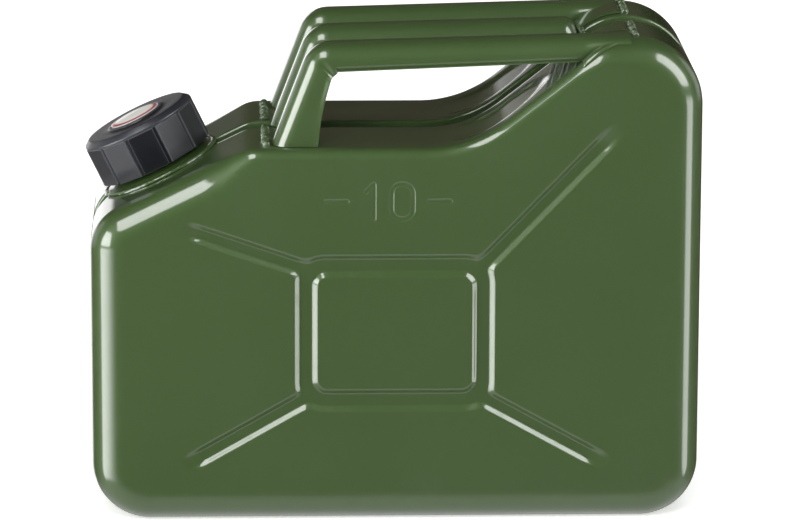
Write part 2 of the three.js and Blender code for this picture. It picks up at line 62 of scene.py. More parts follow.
def node_box(node):
    """Lowest and highest corner of a frame node, in millimetres."""
    low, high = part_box(node)
    return np.array(low) / MM, np.array(high) / MM


shell_low, shell_high = node_box("near_half_shell")
LEFT, RIGHT, TOP = shell_low[0], shell_high[0], shell_high[2]
HALF_DEPTH = -shell_low[1]
cap_turn = next(joint for joint in frame["joints"] if joint["name"] == "cap_turn")
NECK_FOOT = Vector(cap_turn["pos_m"]) / MM
NECK_AXIS = Vector(cap_turn["axis"]).normalized()
print("can", RIGHT - LEFT, "by", 2 * HALF_DEPTH, "by", TOP, "mm; neck foot", NECK_FOOT[:])

# %% [markdown]
# ## Camera
#
# The camera comes first, so that everything else can be judged through it. A long lens from
# nearly three metres keeps the can's sides almost parallel, as product pictures do. It looks
# down by thirteen degrees, enough to show the tops of the three handle bars.

# %% Camera
SENSOR = 36.0
IMAGE_WIDTH = 789
FOCAL_LENGTH = 5007 / IMAGE_WIDTH * SENSOR
CAMERA_PLACE = Vector((-94.6, -2812.6, 786.8)) * MM
CAMERA_PITCH, CAMERA_YAW, CAMERA_ROLL = 0.2272, -0.0347, 0.003

camera_data = bpy.data.cameras.new("camera")
camera_data.sensor_width = SENSOR
camera_data.lens = FOCAL_LENGTH
camera_data.clip_end = 50
camera = bpy.data.objects.new("camera", camera_data)
bpy.context.scene.collection.objects.link(camera)
camera.matrix_world = (
    Matrix.Translation(CAMERA_PLACE)
    @ Matrix.Rotation(CAMERA_YAW, 4, "Z")
    @ Matrix.Rotation(math.pi / 2 - CAMERA_PITCH, 4, "X")
    @ Matrix.Rotation(CAMERA_ROLL, 4, "Z")
)
bpy.context.scene.camera = camera
print("lens", round(FOCAL_LENGTH, 1), "mm at", CAMERA_PLACE.length, "m")

# %% [markdown]
# ## A small language for finishes
#
# A material is a graph of nodes, and its sums are easier to read as Python. `Wire` wraps one
# output socket: adding or multiplying wires adds Math nodes. `Finish` makes any other node
# from its type, its settings and its inputs. Colours and vectors never pass through a Math
# node, which would turn them grey.

# %% Wires and finishes
class Wire:
    """One output of a finish's nodes, which adds Math nodes when it is used in a sum."""

    def __init__(self, finish, socket):
        self.finish, self.socket = finish, socket

    def math(self, operation, *others):
        return self.finish.node("ShaderNodeMath", {"operation": operation}, (self, *others))

    def __add__(self, other):
        return self.math("ADD", other)

    def __sub__(self, other):
        return self.math("SUBTRACT", other)

    def __mul__(self, other):
        return self.math("MULTIPLY", other)

    def __rsub__(self, other):
        return self.finish.node("ShaderNodeMath", {"operation": "SUBTRACT"}, (other, self))

    __radd__ = __add__
    __rmul__ = __mul__


class Graph:
    """Shader nodes of a material or a world, and the coordinates that they start from."""

    def __init__(self, tree, shader, coordinates):
        self.tree, self.shader = tree, tree.nodes[shader]
        self.place = self.node("ShaderNodeTexCoord", output=coordinates)

    def node(self, kind, settings=None, inputs=(), output=0):
        """A node of any kind. Inputs are a list in socket order, or a dict by identifier."""
        node = self.tree.nodes.new(kind)
        for name, value in (settings or {}).items():
            setattr(node, name, value)
        if not isinstance(inputs, dict):
            inputs = dict(enumerate(inputs))
        for key, value in inputs.items():
            socket = node.inputs[key] if isinstance(key, int) else self.by_id(node, key)
            if isinstance(value, Wire):
                self.tree.links.new(value.socket, socket)
            elif value is not None:
                socket.default_value = value
        return Wire(self, node.outputs[output])

    @staticmethod
    def by_id(node, identifier):
        return next(s for s in node.inputs if s.identifier == identifier)

    def noise(self, scale, detail=2.0, roughness=0.5, vector=None):
        """Soft noise from 0 to 1, where scale is the number of lumps in a metre."""
        return self.node(
            "ShaderNodeTexNoise",
            {},
            {
                "Vector": vector or self.place,
                "Scale": scale,
                "Detail": detail,
                "Roughness": roughness,
            },
        )

    def stretched(self, *scale, turn=(0, 0, 0)):
        """Object coordinates with their axes turned and stretched."""
        return self.node(
            "ShaderNodeMapping",
            {},
            {"Vector": self.place, "Rotation": turn, "Scale": scale},
        )

    def between(self, value, low, high, start=0.0, end=1.0):
        """Where value rises from low to high, the result goes smoothly from start to end."""
        return self.node(
            "ShaderNodeMapRange",
            {"interpolation_type": "SMOOTHSTEP"},
            (value, low, high, start, end),
        )

    def mix(self, share, a, b):
        """Colour a where share is 0, and b where it is 1."""
        return self.node(
            "ShaderNodeMix",
            {"data_type": "RGBA"},
            {"Factor_Float": share, "A_Color": a, "B_Color": b},
            output=2,
        )

    def specks(self, scale, core, rim):
        """Round specks, 1 inside the core and 0 past the rim, both as shares of a cell."""
        distance = self.node(
            "ShaderNodeTexVoronoi",
            {"feature": "F1"},
            {"Vector": self.place, "Scale": scale, "Randomness": 1.0},
            output="Distance",
        )
        return self.between(distance, core, rim, 1.0, 0.0)

    def attribute(self, name):
        """A named value that the mesh carries."""
        return self.node("ShaderNodeAttribute", {"attribute_name": name}, output="Fac")

    def bump(self, height, distance, normal=None):
        """Height from 0 to 1 as a bump of that many metres."""
        inputs = {"Strength": 1.0, "Distance": distance, "Height": height}
        if normal:
            inputs["Normal"] = normal
        return self.node("ShaderNodeBump", {}, inputs)

    def link(self, **links):
        for socket, wire in links.items():
            self.tree.links.new(wire.socket, self.shader.inputs[socket.replace("_", " ")])


class Finish(Graph):
    """A material built round one Principled shader."""

    def __init__(self, name, **constants):
        self.material = bpy.data.materials.new(name)
        self.material.use_nodes = True
        super().__init__(self.material.node_tree, "Principled BSDF", "Object")
        for socket, value in constants.items():
            self.shader.inputs[socket.replace("_", " ")].default_value = value

    def set(self, **links):
        self.link(**links)
        return self.material


# %% [markdown]
# ## Baked enamel
#
# The can is sprayed with a thick, glossy olive-green enamel. Its gloss isn't perfect: the
# film has a fine orange peel, the pressed sheet beneath it is faintly wavy, and handling
# leaves hairline scratches and a little dust. All of that is noise on object coordinates,
# which is fixed to the metal. Where the sheet is folded tightly the film is thinner, so the
# meshes carry an attribute named `edge` that is 1 on such folds.

# %% Enamel and painted weld
OLIVE = (0.037, 0.067, 0.020, 1)
OLIVE_LIGHT = (0.040, 0.071, 0.023, 1)
OLIVE_DARK = (0.030, 0.055, 0.017, 1)
EDGE_GREEN = (0.085, 0.12, 0.062, 1)
DUST = (0.16, 0.16, 0.13, 1)
BURNT = (0.03, 0.022, 0.014, 1)
WAVE_HEIGHT, PEEL_HEIGHT, SCRATCH_DEPTH = 0.0005, 0.00001, 0.00001
WELD_LUMP_HEIGHT, WELD_SCALE_HEIGHT = 0.0005, 0.00012


def enamel_finish():
    finish = Finish(
        "olive_enamel", Metallic=0.0, IOR=1.5, Specular_IOR_Level=0.35, Coat_Roughness=0.03
    )
    cloud = finish.noise(9, 3, 0.5)
    fine = finish.noise(160, 5, 0.6)
    base = finish.mix(finish.between(cloud, 0.3, 0.7), OLIVE, OLIVE_LIGHT)
    base = finish.mix(finish.between(fine, 0.45, 0.8) * 0.2, base, OLIVE_DARK)
    fold = finish.attribute("edge")
    rub = fold * finish.between(finish.noise(75, 4, 0.65), 0.5, 0.7)
    base = finish.mix(rub * 0.3, base, EDGE_GREEN)
    speck = finish.specks(260, 0.04, 0.08) * finish.between(finish.noise(30), 0.6, 0.72)
    base = finish.mix(speck * 0.3, base, DUST)
    hair_long = finish.noise(1, 1, vector=finish.stretched(30, 30, 1600, turn=(0.3, 0.5, 0)))
    hair_cross = finish.noise(1, 1, vector=finish.stretched(1400, 60, 45, turn=(0, 0.6, 0.2)))
    hairs = finish.between(hair_long, 0.75, 0.8) + finish.between(hair_cross, 0.75, 0.8)
    hairs = hairs * finish.between(finish.noise(16), 0.5, 0.65)
    peel = finish.noise(420, 2, 0.5)
    wave = finish.noise(11, 1, 0.4)
    bump = finish.bump(wave, WAVE_HEIGHT)
    bump = finish.bump(peel, PEEL_HEIGHT, normal=bump)
    bump = finish.bump(hairs * -1, SCRATCH_DEPTH, normal=bump)
    haze = finish.noise(22, 4, 0.55)
    rough = 0.34 + haze * 0.08 + hairs * 0.08 + speck * 0.2 + rub * 0.15
    coat = 1.0 - speck * 0.3 - rub * 0.3
    return finish.set(Base_Color=base, Roughness=rough, Coat_Weight=coat, Normal=bump)


def weld_finish():
    finish = Finish("painted_weld", IOR=1.5, Coat_Roughness=0.05)
    lumps = finish.noise(260, 4, 0.65)
    scale = finish.noise(900, 3, 0.7)
    base = finish.mix(finish.between(lumps, 0.4, 0.7), OLIVE_DARK, EDGE_GREEN)
    burnt = finish.between(finish.noise(120, 3), 0.6, 0.72)
    base = finish.mix(burnt * 0.5, base, BURNT)
    bump = finish.bump(lumps, WELD_LUMP_HEIGHT)
    bump = finish.bump(scale, WELD_SCALE_HEIGHT, normal=bump)
    rough = 0.3 + lumps * 0.25
    return finish.set(
        Base_Color=base, Roughness=rough, Coat_Weight=0.8 - burnt * 0.6, Normal=bump
    )


ENAMEL = enamel_finish()
WELD = weld_finish()
print("enamel nodes", len(ENAMEL.node_tree.nodes))

# %% [markdown]
# ## Cap plastic, steel, rubber and label film
#
# The cap is a blue-black moulding with a fine spark-eroded texture and pale specks of dust
# caught in it, with a painted highlight line along its grip grooves and rim. The tube and the
# disc under the cap are bare steel with drawing lines, the gasket is matt rubber, and the
# label is a plain printed film with a coloured ring.

# %% Other finishes
CAP_BLACK, CAP_BLACK_LIGHT = (0.006, 0.0066, 0.0095, 1), (0.009, 0.0096, 0.0135, 1)
# The second pair is pale dust, and a painted highlight colour for the cap's groove edges and rim.
CAP_DUST, CAP_FOLD_HIGHLIGHT = (0.10, 0.095, 0.09, 1), (0.13, 0.135, 0.15, 1)
STEEL_CLEAN, STEEL_STAINED = (0.42, 0.42, 0.42, 1), (0.26, 0.24, 0.21, 1)
RUBBER_DARK, RUBBER_WORN = (0.010, 0.010, 0.010, 1), (0.022, 0.021, 0.020, 1)
PAPER, PAPER_LIGHT, LABEL_RED = (0.62, 0.61, 0.58, 1), (0.72, 0.71, 0.68, 1), (0.30, 0.05, 0.055, 1)
SPARK_HEIGHT, DRAWN_HEIGHT, RUBBER_HEIGHT, FILM_HEIGHT = 0.00006, 0.00004, 0.00008, 0.00003


def cap_finish():
    finish = Finish("cap_plastic", IOR=1.5, Specular_IOR_Level=0.5)
    grain = finish.noise(1500, 3, 0.65)
    cloud = finish.noise(35, 3)
    base = finish.mix(finish.between(cloud, 0.3, 0.7), CAP_BLACK, CAP_BLACK_LIGHT)
    speck = finish.specks(900, 0.1, 0.24) * finish.between(grain, 0.42, 0.6)
    base = finish.mix(speck * 0.18, base, CAP_DUST)
    # Painted highlight: on the cap the edge values mark thin lines along the grip grooves and the
    # rim, and those lines are mixed towards a pale colour.
    fold = finish.attribute("edge")
    base = finish.mix(fold * 0.7, base, CAP_FOLD_HIGHLIGHT)
    rough = 0.3 + finish.noise(90, 3) * 0.05 + speck * 0.12
    bump = finish.bump(grain, SPARK_HEIGHT)
    return finish.set(Base_Color=base, Roughness=rough, Normal=bump)


def steel_finish():
    finish = Finish("drawn_steel", Metallic=1.0)
    lines = finish.noise(1, 3, vector=finish.stretched(40, 1500, 1500))
    stain = finish.between(finish.noise(70, 4), 0.45, 0.75)
    base = finish.mix(stain, STEEL_CLEAN, STEEL_STAINED)
    rough = 0.24 + lines * 0.2 + stain * 0.15
    return finish.set(Base_Color=base, Roughness=rough, Normal=finish.bump(lines, DRAWN_HEIGHT))


def rubber_finish():
    finish = Finish("gasket_rubber")
    grain = finish.noise(900, 3)
    base = finish.mix(grain, RUBBER_DARK, RUBBER_WORN)
    rough = 0.62 + grain * 0.2
    return finish.set(Base_Color=base, Roughness=rough, Normal=finish.bump(grain, RUBBER_HEIGHT))


def label_finish():
    finish = Finish("label_print", IOR=1.5, Coat_Roughness=0.1, Coat_Weight=0.4)
    ring = finish.attribute("ring")
    paper = finish.mix(finish.noise(120, 4), PAPER, PAPER_LIGHT)
    base = finish.mix(ring, paper, LABEL_RED)
    grain = finish.noise(800, 2)
    rough = 0.3 + finish.noise(60, 3) * 0.15
    return finish.set(Base_Color=base, Roughness=rough, Normal=finish.bump(grain, FILM_HEIGHT))


CAP_PLASTIC, STEEL = cap_finish(), steel_finish()
RUBBER, LABEL = rubber_finish(), label_finish()

# %% [markdown]
# ## Meshes from rows of points
#
# Nearly every pressing here is a sheet that follows a path, so its mesh is a grid: rows of
# points, joined by quads. One function joins the rows, and another makes the object, merges
# doubles, points its faces outwards, and marks the edges that are really sharp.

# %% Mesh helpers
def mix(a, b, t):
    return a + (b - a) * t


def smooth(low, high, value):
    """0 below low and 1 above high, with a smooth rise between them."""
    t = np.clip((np.asarray(value, float) - low) / (high - low), 0, 1)
    return t * t * (3 - 2 * t)


def grid_faces(rows, columns, close_rows=False, close_columns=False, first=0):
    """Quads that join a grid of points, whose rows and columns may close on themselves."""
    faces = []
    for i in range(rows if close_rows else rows - 1):
        for j in range(columns if close_columns else columns - 1):
            k, m = (i + 1) % rows, (j + 1) % columns
            corners = (i * columns + j, i * columns + m, k * columns + m, k * columns + j)
            faces.append(tuple(first + c for c in corners))
    return faces


def end_faces(rows, columns):
    """Quads that close the first and last row, each folded on itself, of a grid of skins."""
    faces = []
    for first in (0, (rows - 1) * columns):
        for j in range(columns // 2 - 1):
            k = columns - 1 - j
            faces.append((first + j, first + j + 1, first + k - 1, first + k))
    return faces


def finish_mesh(obj, finish, sharp=38):
    """Merges doubles, turns the faces outwards and keeps real edges sharp."""
    work = bmesh.new()
    work.from_mesh(obj.data)
    bmesh.ops.remove_doubles(work, verts=work.verts, dist=1e-6)
    bmesh.ops.dissolve_degenerate(work, edges=work.edges, dist=1e-7)
    bmesh.ops.recalc_face_normals(work, faces=work.faces)
    limit = math.radians(sharp)
    for edge in work.edges:
        edge.smooth = len(edge.link_faces) != 2 or edge.calc_face_angle(0) < limit
    for face in work.faces:
        face.smooth = True
        face.material_index = 0
    work.to_mesh(obj.data)
    work.free()
    obj.data.materials.clear()
    obj.data.materials.append(finish)
    return obj


def make_piece(name, points, faces, finish, sharp=38, **attributes):
    """An object from points in millimetres. Attributes are named values, one for each point."""
    mesh = bpy.data.meshes.new(name)
    mesh.from_pydata((np.asarray(points, float) * MM).tolist(), [], faces)
    for key, values in attributes.items():
        layer = mesh.attributes.new(key, "FLOAT", "POINT")
        layer.data.foreach_set("value", np.asarray(values, np.float32).ravel())
    obj = bpy.data.objects.new(name, mesh)
    bpy.context.scene.collection.objects.link(obj)
    return finish_mesh(obj, finish, sharp)


def plain_mesh(obj):
    """Gives an object the mesh that its modifiers make, and removes them."""
    evaluated = obj.evaluated_get(bpy.context.evaluated_depsgraph_get())
    mesh = bpy.data.meshes.new_from_object(evaluated)
    obj.modifiers.clear()
    obj.data = mesh
    return obj


def join(target, *others):
    """Adds the other objects' meshes to the target's, and removes those objects."""
    work = bmesh.new()
    work.from_mesh(target.data)
    for other in others:
        work.from_mesh(other.data)
        bpy.data.objects.remove(other)
    work.to_mesh(target.data)
    work.free()
    return target


def declare(obj, body, slot_name, *nodes):
    """Puts a finished piece on its body, in place of its CAD nodes."""
    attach(obj, body)
    if nodes:
        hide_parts(*nodes)
    obj.data.calc_loop_triangles()
    print(obj.name, len(obj.data.loop_triangles), "triangles")
    return obj


# %% [markdown]
# ## The can's outline
#
# Seen from the side, the can is one closed outline with seven rounded corners. Each point
# keeps its inward normal, so that any section of the sheet is the same outline, moved in.
# The edge between a face and the sides has a big radius, except along the hand recess, where
# it tightens.

# %% Outline
HAND_HEIGHT = 216.5
SHOULDER_RUN = 90.5
SHOULDER_ANGLE = math.acos(NECK_AXIS.z)
RISE_ANGLE = math.radians(38)
BOTTOM_RADIUS, SPOUT_RADIUS, TALL_RADIUS = 33, 25, 39
RISE_RADIUS, BREAK_RADIUS = 70, 24
EDGE_RADIUS, HAND_EDGE_RADIUS = 19, 7

BREAK_X = LEFT + SHOULDER_RUN
TALL_X = RIGHT - TALL_RADIUS * (1 + math.tan(RISE_ANGLE / 2))
RISE_FOOT_X = TALL_X - (TOP - HAND_HEIGHT) / math.tan(RISE_ANGLE)
SPOUT_HEIGHT = HAND_HEIGHT - SHOULDER_RUN * math.tan(SHOULDER_ANGLE)
SIDE_CORNERS = [
    (LEFT, 0, BOTTOM_RADIUS, 12),
    (RIGHT, 0, BOTTOM_RADIUS, 12),
    (RIGHT, TOP, TALL_RADIUS, 4),
    (TALL_X, TOP, TALL_RADIUS, 2.2),
    (RISE_FOOT_X, HAND_HEIGHT, RISE_RADIUS, 2.5),
    (BREAK_X, HAND_HEIGHT, BREAK_RADIUS, 2.5),
    (LEFT, SPOUT_HEIGHT, SPOUT_RADIUS, 12),
]


def rounded_outline(corners, arc_step=math.radians(3.5), least_run=2.2):
    """Points and inward normals of a closed outline, anticlockwise, corners rounded.

    A corner is x, z, its radius, and the spacing of the points on the straight after it.
    """
    arcs = []
    for i, (x, z, radius, _) in enumerate(corners):
        corner = Vector((x, z))
        into = (corner - Vector(corners[i - 1][:2])).normalized()
        out = (Vector(corners[(i + 1) % len(corners)][:2]) - corner).normalized()
        turn = math.atan2(into.cross(out), into.dot(out))
        reach = radius * math.tan(abs(turn) / 2)
        side = math.copysign(1, turn)
        inward = Vector((-into.y, into.x))
        centre = corner - into * reach + inward * radius * side
        arcs.append((corner + out * reach, centre, inward, turn, radius * side, out))
    points, normals = [], []
    for i, (arc_end, centre, inward, turn, radius, out) in enumerate(arcs):
        steps = max(
            2,
            math.ceil(abs(turn) / arc_step),
            math.ceil(abs(turn * radius) / least_run) if abs(radius) > EDGE_RADIUS else 2,
        )
        for j in range(steps + 1):
            normal = inward.copy()
            normal.rotate(Matrix.Rotation(turn * j / steps, 2))
            points.append(centre - normal * radius)
            normals.append(normal)
        next_centre, next_inward, next_radius = (arcs[(i + 1) % len(arcs)][k] for k in (1, 2, 4))
        next_start = next_centre - next_inward * next_radius
        run = (next_start - arc_end).length
        pieces = max(1, math.ceil(run / corners[i][3]))
        for j in range(1, pieces):
            points.append(arc_end.lerp(next_start, j / pieces))
            normals.append(next_inward)
    return np.array(points), np.array(normals)


outline, inward = rounded_outline(SIDE_CORNERS)
OUT_X, OUT_Z = outline.T
is_top = inward[:, 1] < -0.2
top_order = np.argsort(OUT_X[is_top])
TOP_X, TOP_Z = OUT_X[is_top][top_order], OUT_Z[is_top][top_order]


def edge_radius(x, z):
    """Radius of the edge between a face and the sides."""
    on_top = smooth(HAND_HEIGHT - 60, HAND_HEIGHT - 30, z)
    along_hand = smooth(BREAK_X - 30, BREAK_X + 7, x) * (1 - smooth(TALL_X - 22, TALL_X + 20, x))
    return mix(EDGE_RADIUS, HAND_EDGE_RADIUS, on_top * along_hand)


def can_top(x, y):
    """Height of the can's upper surface, which falls away along its rounded edges."""
    height = np.interp(x, TOP_X, TOP_Z)
    radius = edge_radius(x, height)
    over = np.clip(np.abs(y) - (HALF_DEPTH - radius), 0, radius * 0.999)
    return height - radius + np.sqrt(radius**2 - over**2)


print(len(outline), "outline points")

# %% [markdown]
# ## What is pressed into the faces
#
# Each face has a ring of a shallow band round a panel, four arms that run from its corners
# and fade out, and a capacity mark. All of them are strokes of constant width, so one
# distance to their middle lines gives the depth at any point of the face. A smooth minimum
# rounds the places where arms meet the ring.

# %% Strokes on a face
PRESS_DEPTH, PRESS_FLOOR, PRESS_EDGE = 2.5, 3.2, 6.8
MARK_DEPTH, MARK_FLOOR, MARK_EDGE = 0.38, 0.8, 1.8
ARM_NARROWER, GUARDS = 0.9, np.array([0.35, 1.0, 2.2])
PANEL_X, PANEL_Z, PANEL_WIDTH, PANEL_HEIGHT, PANEL_CORNER = -1, 111, 100, 78, 11
X_SHIFT = (LEFT + RIGHT) / 2
ARM_SIDE, ARM_LOW, ARM_UNDER_BREAK = 54.5, 35, 45.5
ARM_TALL_SIDE, ARM_UNDER_TOP = 49.5, 50.5
ARM_ENDS = [
    (LEFT + ARM_SIDE, HAND_HEIGHT - ARM_UNDER_BREAK),
    (RIGHT - ARM_TALL_SIDE, TOP - ARM_UNDER_TOP),
    (RIGHT - ARM_SIDE, ARM_LOW),
    (LEFT + ARM_SIDE, ARM_LOW),
]
MARK_Z, DIGIT_HEIGHT, DIGIT_WIDTH = 187, 20, 12
DIGIT_ONE_X, DIGIT_NAUGHT_X, DASH_GAP, DASH_LENGTH = -13, 3, 9, 12
FIELD_MARGIN, MARK_SPAN, MARK_RISE = 12, 55, 15
BAND_STEP, MARK_STEP = 1.6, 0.8


def to_segment(x, z, start, end):
    """Distance to a straight stroke, and how far along it the nearest place is, 0 to 1."""
    ax, az = start
    bx, bz = end[0] - ax, end[1] - az
    along = ((x - ax) * bx + (z - az) * bz) / (bx * bx + bz * bz)
    t = np.clip(along, 0, 1)
    return np.hypot(x - ax - t * bx, z - az - t * bz), along


def to_ring(x, z, centre, width, height, corner):
    """Distance to a rounded rectangle's line."""
    qx = np.abs(x - centre[0]) - (width / 2 - corner)
    qz = np.abs(z - centre[1]) - (height / 2 - corner)
    outside = np.hypot(np.maximum(qx, 0), np.maximum(qz, 0))
    return np.abs(outside + np.minimum(np.maximum(qx, qz), 0) - corner)


def band_field(x, z):
    """Distance to the bands' middle lines, and the share of their depth."""
    ring = to_ring(x, z, (PANEL_X + X_SHIFT, PANEL_Z), PANEL_WIDTH, PANEL_HEIGHT, PANEL_CORNER)
    nearest, share = ring, np.ones_like(ring)
    inset = PANEL_CORNER * (1 - math.sqrt(0.5))
    for end in ARM_ENDS:
        across, up = math.copysign(1, end[0] - X_SHIFT), math.copysign(1, end[1] - PANEL_Z)
        start = (
            PANEL_X + X_SHIFT + across * (PANEL_WIDTH / 2 - inset),
            PANEL_Z + up * (PANEL_HEIGHT / 2 - inset),
        )
        arm, along = to_segment(x, z, start, end)
        arm = arm + ARM_NARROWER
        share = np.where(arm < ring, 1 - smooth(0.86, 1.04, along), share)
        blend = 1.5
        nearest = -blend * np.logaddexp(-nearest / blend, -arm / blend)
    return nearest, share


def mark_field(x, z, mirror=1):
    """Distance to the capacity mark: the digits one and nought, between two dashes.

    A mirror of -1 makes it readable from behind the can.
    """
    x = X_SHIFT + mirror * (x - X_SHIFT)
    low, high = MARK_Z - DIGIT_HEIGHT / 2, MARK_Z + DIGIT_HEIGHT / 2
    one_x, naught_x = DIGIT_ONE_X + X_SHIFT, DIGIT_NAUGHT_X + X_SHIFT
    size = (DIGIT_WIDTH, DIGIT_HEIGHT, DIGIT_WIDTH * 0.46)
    left_dash = one_x - DIGIT_WIDTH / 2 - DASH_GAP
    right_dash = naught_x + DIGIT_WIDTH / 2 + DASH_GAP
    strokes = [
        to_segment(x, z, (one_x, low), (one_x, high))[0],
        to_segment(x, z, (one_x, high), (one_x - 4.5, high - 4.5))[0],
        to_ring(x, z, (naught_x, MARK_Z), *size),
        to_segment(x, z, (left_dash - DASH_LENGTH, MARK_Z), (left_dash, MARK_Z))[0],
        to_segment(x, z, (right_dash, MARK_Z), (right_dash + DASH_LENGTH, MARK_Z))[0],
    ]
    return np.minimum.reduce(strokes)


def face_depth(x, z, mirror):
    """How deep the face is pressed in at a point."""
    distance, share = band_field(x, z)
    across = (distance - PRESS_FLOOR) / (PRESS_EDGE - PRESS_FLOOR)
    ramp = mix(smooth(0, 1, across), np.clip(across, 0, 1), 0.45)
    bands = PRESS_DEPTH * share * (1 - ramp)
    return bands + MARK_DEPTH * (1 - smooth(MARK_FLOOR, MARK_EDGE, mark_field(x, z, mirror)))


# %% [markdown]
# A regular grid would cut across the pressed edges and ripple in the gloss. Instead the face
# is triangulated between contour lines of that distance: each contour is found where it
# crosses the lines of a fine grid, and its crossings are joined by constraints.

# %% Contours and the triangulated face
def contours(field, levels, box, step):
    """Points and edges of a field's contour lines inside a box."""
    xs = np.arange(box[0], box[1], step)
    zs = np.arange(box[2], box[3], step)
    values = field(*np.meshgrid(xs, zs, indexing="ij"))
    points, edges = [], []
    for level in levels:
        above = values > level
        crossing = {}

        def cut(i, j, k, m):
            key = (i, j, k, m)
            if key not in crossing:
                t = (level - values[i, j]) / (values[k, m] - values[i, j])
                crossing[key] = len(points)
                points.append((mix(xs[i], xs[k], t), mix(zs[j], zs[m], t)))
            return crossing[key]

        count = above[:-1, :-1] + 0 + above[1:, :-1] + above[:-1, 1:] + above[1:, 1:]
        for i, j in np.argwhere((count > 0) & (count < 4)):
            sides = [(i, j, i + 1, j), (i + 1, j, i + 1, j + 1)]
            sides += [(i, j + 1, i + 1, j + 1), (i, j, i, j + 1)]
            cuts = [cut(*s) for s in sides if above[s[0], s[1]] != above[s[2], s[3]]]
            edges += [(cuts[0], cuts[1])] + ([(cuts[2], cuts[3])] if len(cuts) == 4 else [])
    return points, edges


def face_triangles(boundary, mirror):
    """Triangles inside the boundary, which follow the pressed strokes.

    The boundary's points keep their places at the start of the list.
    """
    points = [Vector(p) for p in boundary]
    edges = [(i, (i + 1) % len(points)) for i in range(len(points))]
    ramp, edge = np.linspace(PRESS_FLOOR, PRESS_EDGE, 8), np.linspace(MARK_FLOOR, MARK_EDGE, 5)
    bands = (lambda x, z: band_field(x, z)[0]), [PRESS_FLOOR - 0.4, *ramp, *(PRESS_EDGE + GUARDS)]
    marks = (lambda x, z: mark_field(x, z, mirror)), [*edge, *(MARK_EDGE + GUARDS)]
    xs, zs = zip(*ARM_ENDS)
    band_box = (
        min(xs) - FIELD_MARGIN,
        RIGHT - ARM_SIDE + FIELD_MARGIN,
        min(zs) - FIELD_MARGIN,
        max(zs) + FIELD_MARGIN,
    )
    mark_box = (X_SHIFT - MARK_SPAN, X_SHIFT + MARK_SPAN, MARK_Z - MARK_RISE, MARK_Z + MARK_RISE)
    for (field, levels), box, step in ((bands, band_box, BAND_STEP), (marks, mark_box, MARK_STEP)):
        found, joined = contours(field, levels, box, step)
        edges += [(a + len(points), b + len(points)) for a, b in joined]
        points += [Vector(p) for p in found]
    made, _, triangles, origins, _, _ = delaunay_2d_cdt(points, edges, [], 1, 1e-4)
    place = {old: new for new, olds in enumerate(origins) for old in olds}
    order = [place[i] for i in range(len(boundary))]
    rest = [i for i in range(len(made)) if i not in set(order)]
    number = {old: new for new, old in enumerate(order + rest)}
    flat = np.array([made[i] for i in order + rest])
    return flat, [tuple(number[c] for c in triangle) for triangle in triangles]


# %% [markdown]
# ## Half shells
#
# Each half is one pressing, drawn here as rows of points that all follow the outline: from
# the face round the edge, across the side to the seam groove, down its wall, up the lip that
# is welded, and back along the inside one sheet thickness away. The groove runs out before
# it reaches the neck. The climb to the tall shoulder has a shallow sunk panel with a rounded
# end, which stiffens it.

# %% Half shells
STEEL_SHEET, SEAM_GAP = 1.0, 0.15
GROOVE_HALF, GROOVE_DEPTH, GROOVE_EDGE, GROOVE_FILLET = 8, 10, 2, 2.2
LIP_HEIGHT = 5
NECK_PAD, GROOVE_FADE = 35, (-4, 6)
SUNK_DEPTH, SUNK_RAMP = 1.3, 5
SUNK_LOW_X, SUNK_HIGH_X = RISE_FOOT_X - 16, TALL_X - 34
SUNK_NEAR, SUNK_FAR = 59, 17
EDGE_ROWS, SIDE_ROWS, BEND_ROWS = 13, 30, 5


def groove_share(x, z):
    """1 along the groove, and almost 0 where it has run out near the neck."""
    away = np.hypot(x - NECK_FOOT.x, z - NECK_FOOT.z)
    return np.maximum(0.03, smooth(NECK_PAD + GROOVE_FADE[0], NECK_PAD + GROOVE_FADE[1], away))


def sunk_panel(y):
    """Depth of the panel on the climb, for every outline point."""
    middle, half = (SUNK_NEAR + SUNK_FAR) / 2, (SUNK_NEAR - SUNK_FAR) / 2
    past_end = np.maximum(OUT_X - (SUNK_HIGH_X - half), 0)
    off = np.hypot(past_end, np.abs(y - middle)) - half
    inside = 1 - smooth(-SUNK_RAMP, 0, off)
    starts = smooth(SUNK_LOW_X, SUNK_LOW_X + 26, OUT_X)
    return SUNK_DEPTH * inside * starts * is_top


def edge_rows(radius_in, depth_in):
    """Rows round the edge between a face and the sides, for a skin moved in by depth_in."""
    for angle in np.linspace(0, math.pi / 2, EDGE_ROWS):
        away = HALF_DEPTH - depth_in - radius_in * (1 - math.cos(angle))
        yield away, depth_in + radius_in * (1 - math.sin(angle)), 0.15


def side_rows(depth_in):
    """Rows across the side, from the edge to the groove."""
    start = HALF_DEPTH - EDGE_RADII
    end = GROOVE_HALF + GROOVE_EDGE + depth_in
    for t in np.linspace(0, 1, SIDE_ROWS)[1:]:
        away = mix(start, end, t)
        yield away, depth_in + sunk_panel(away), 0.0


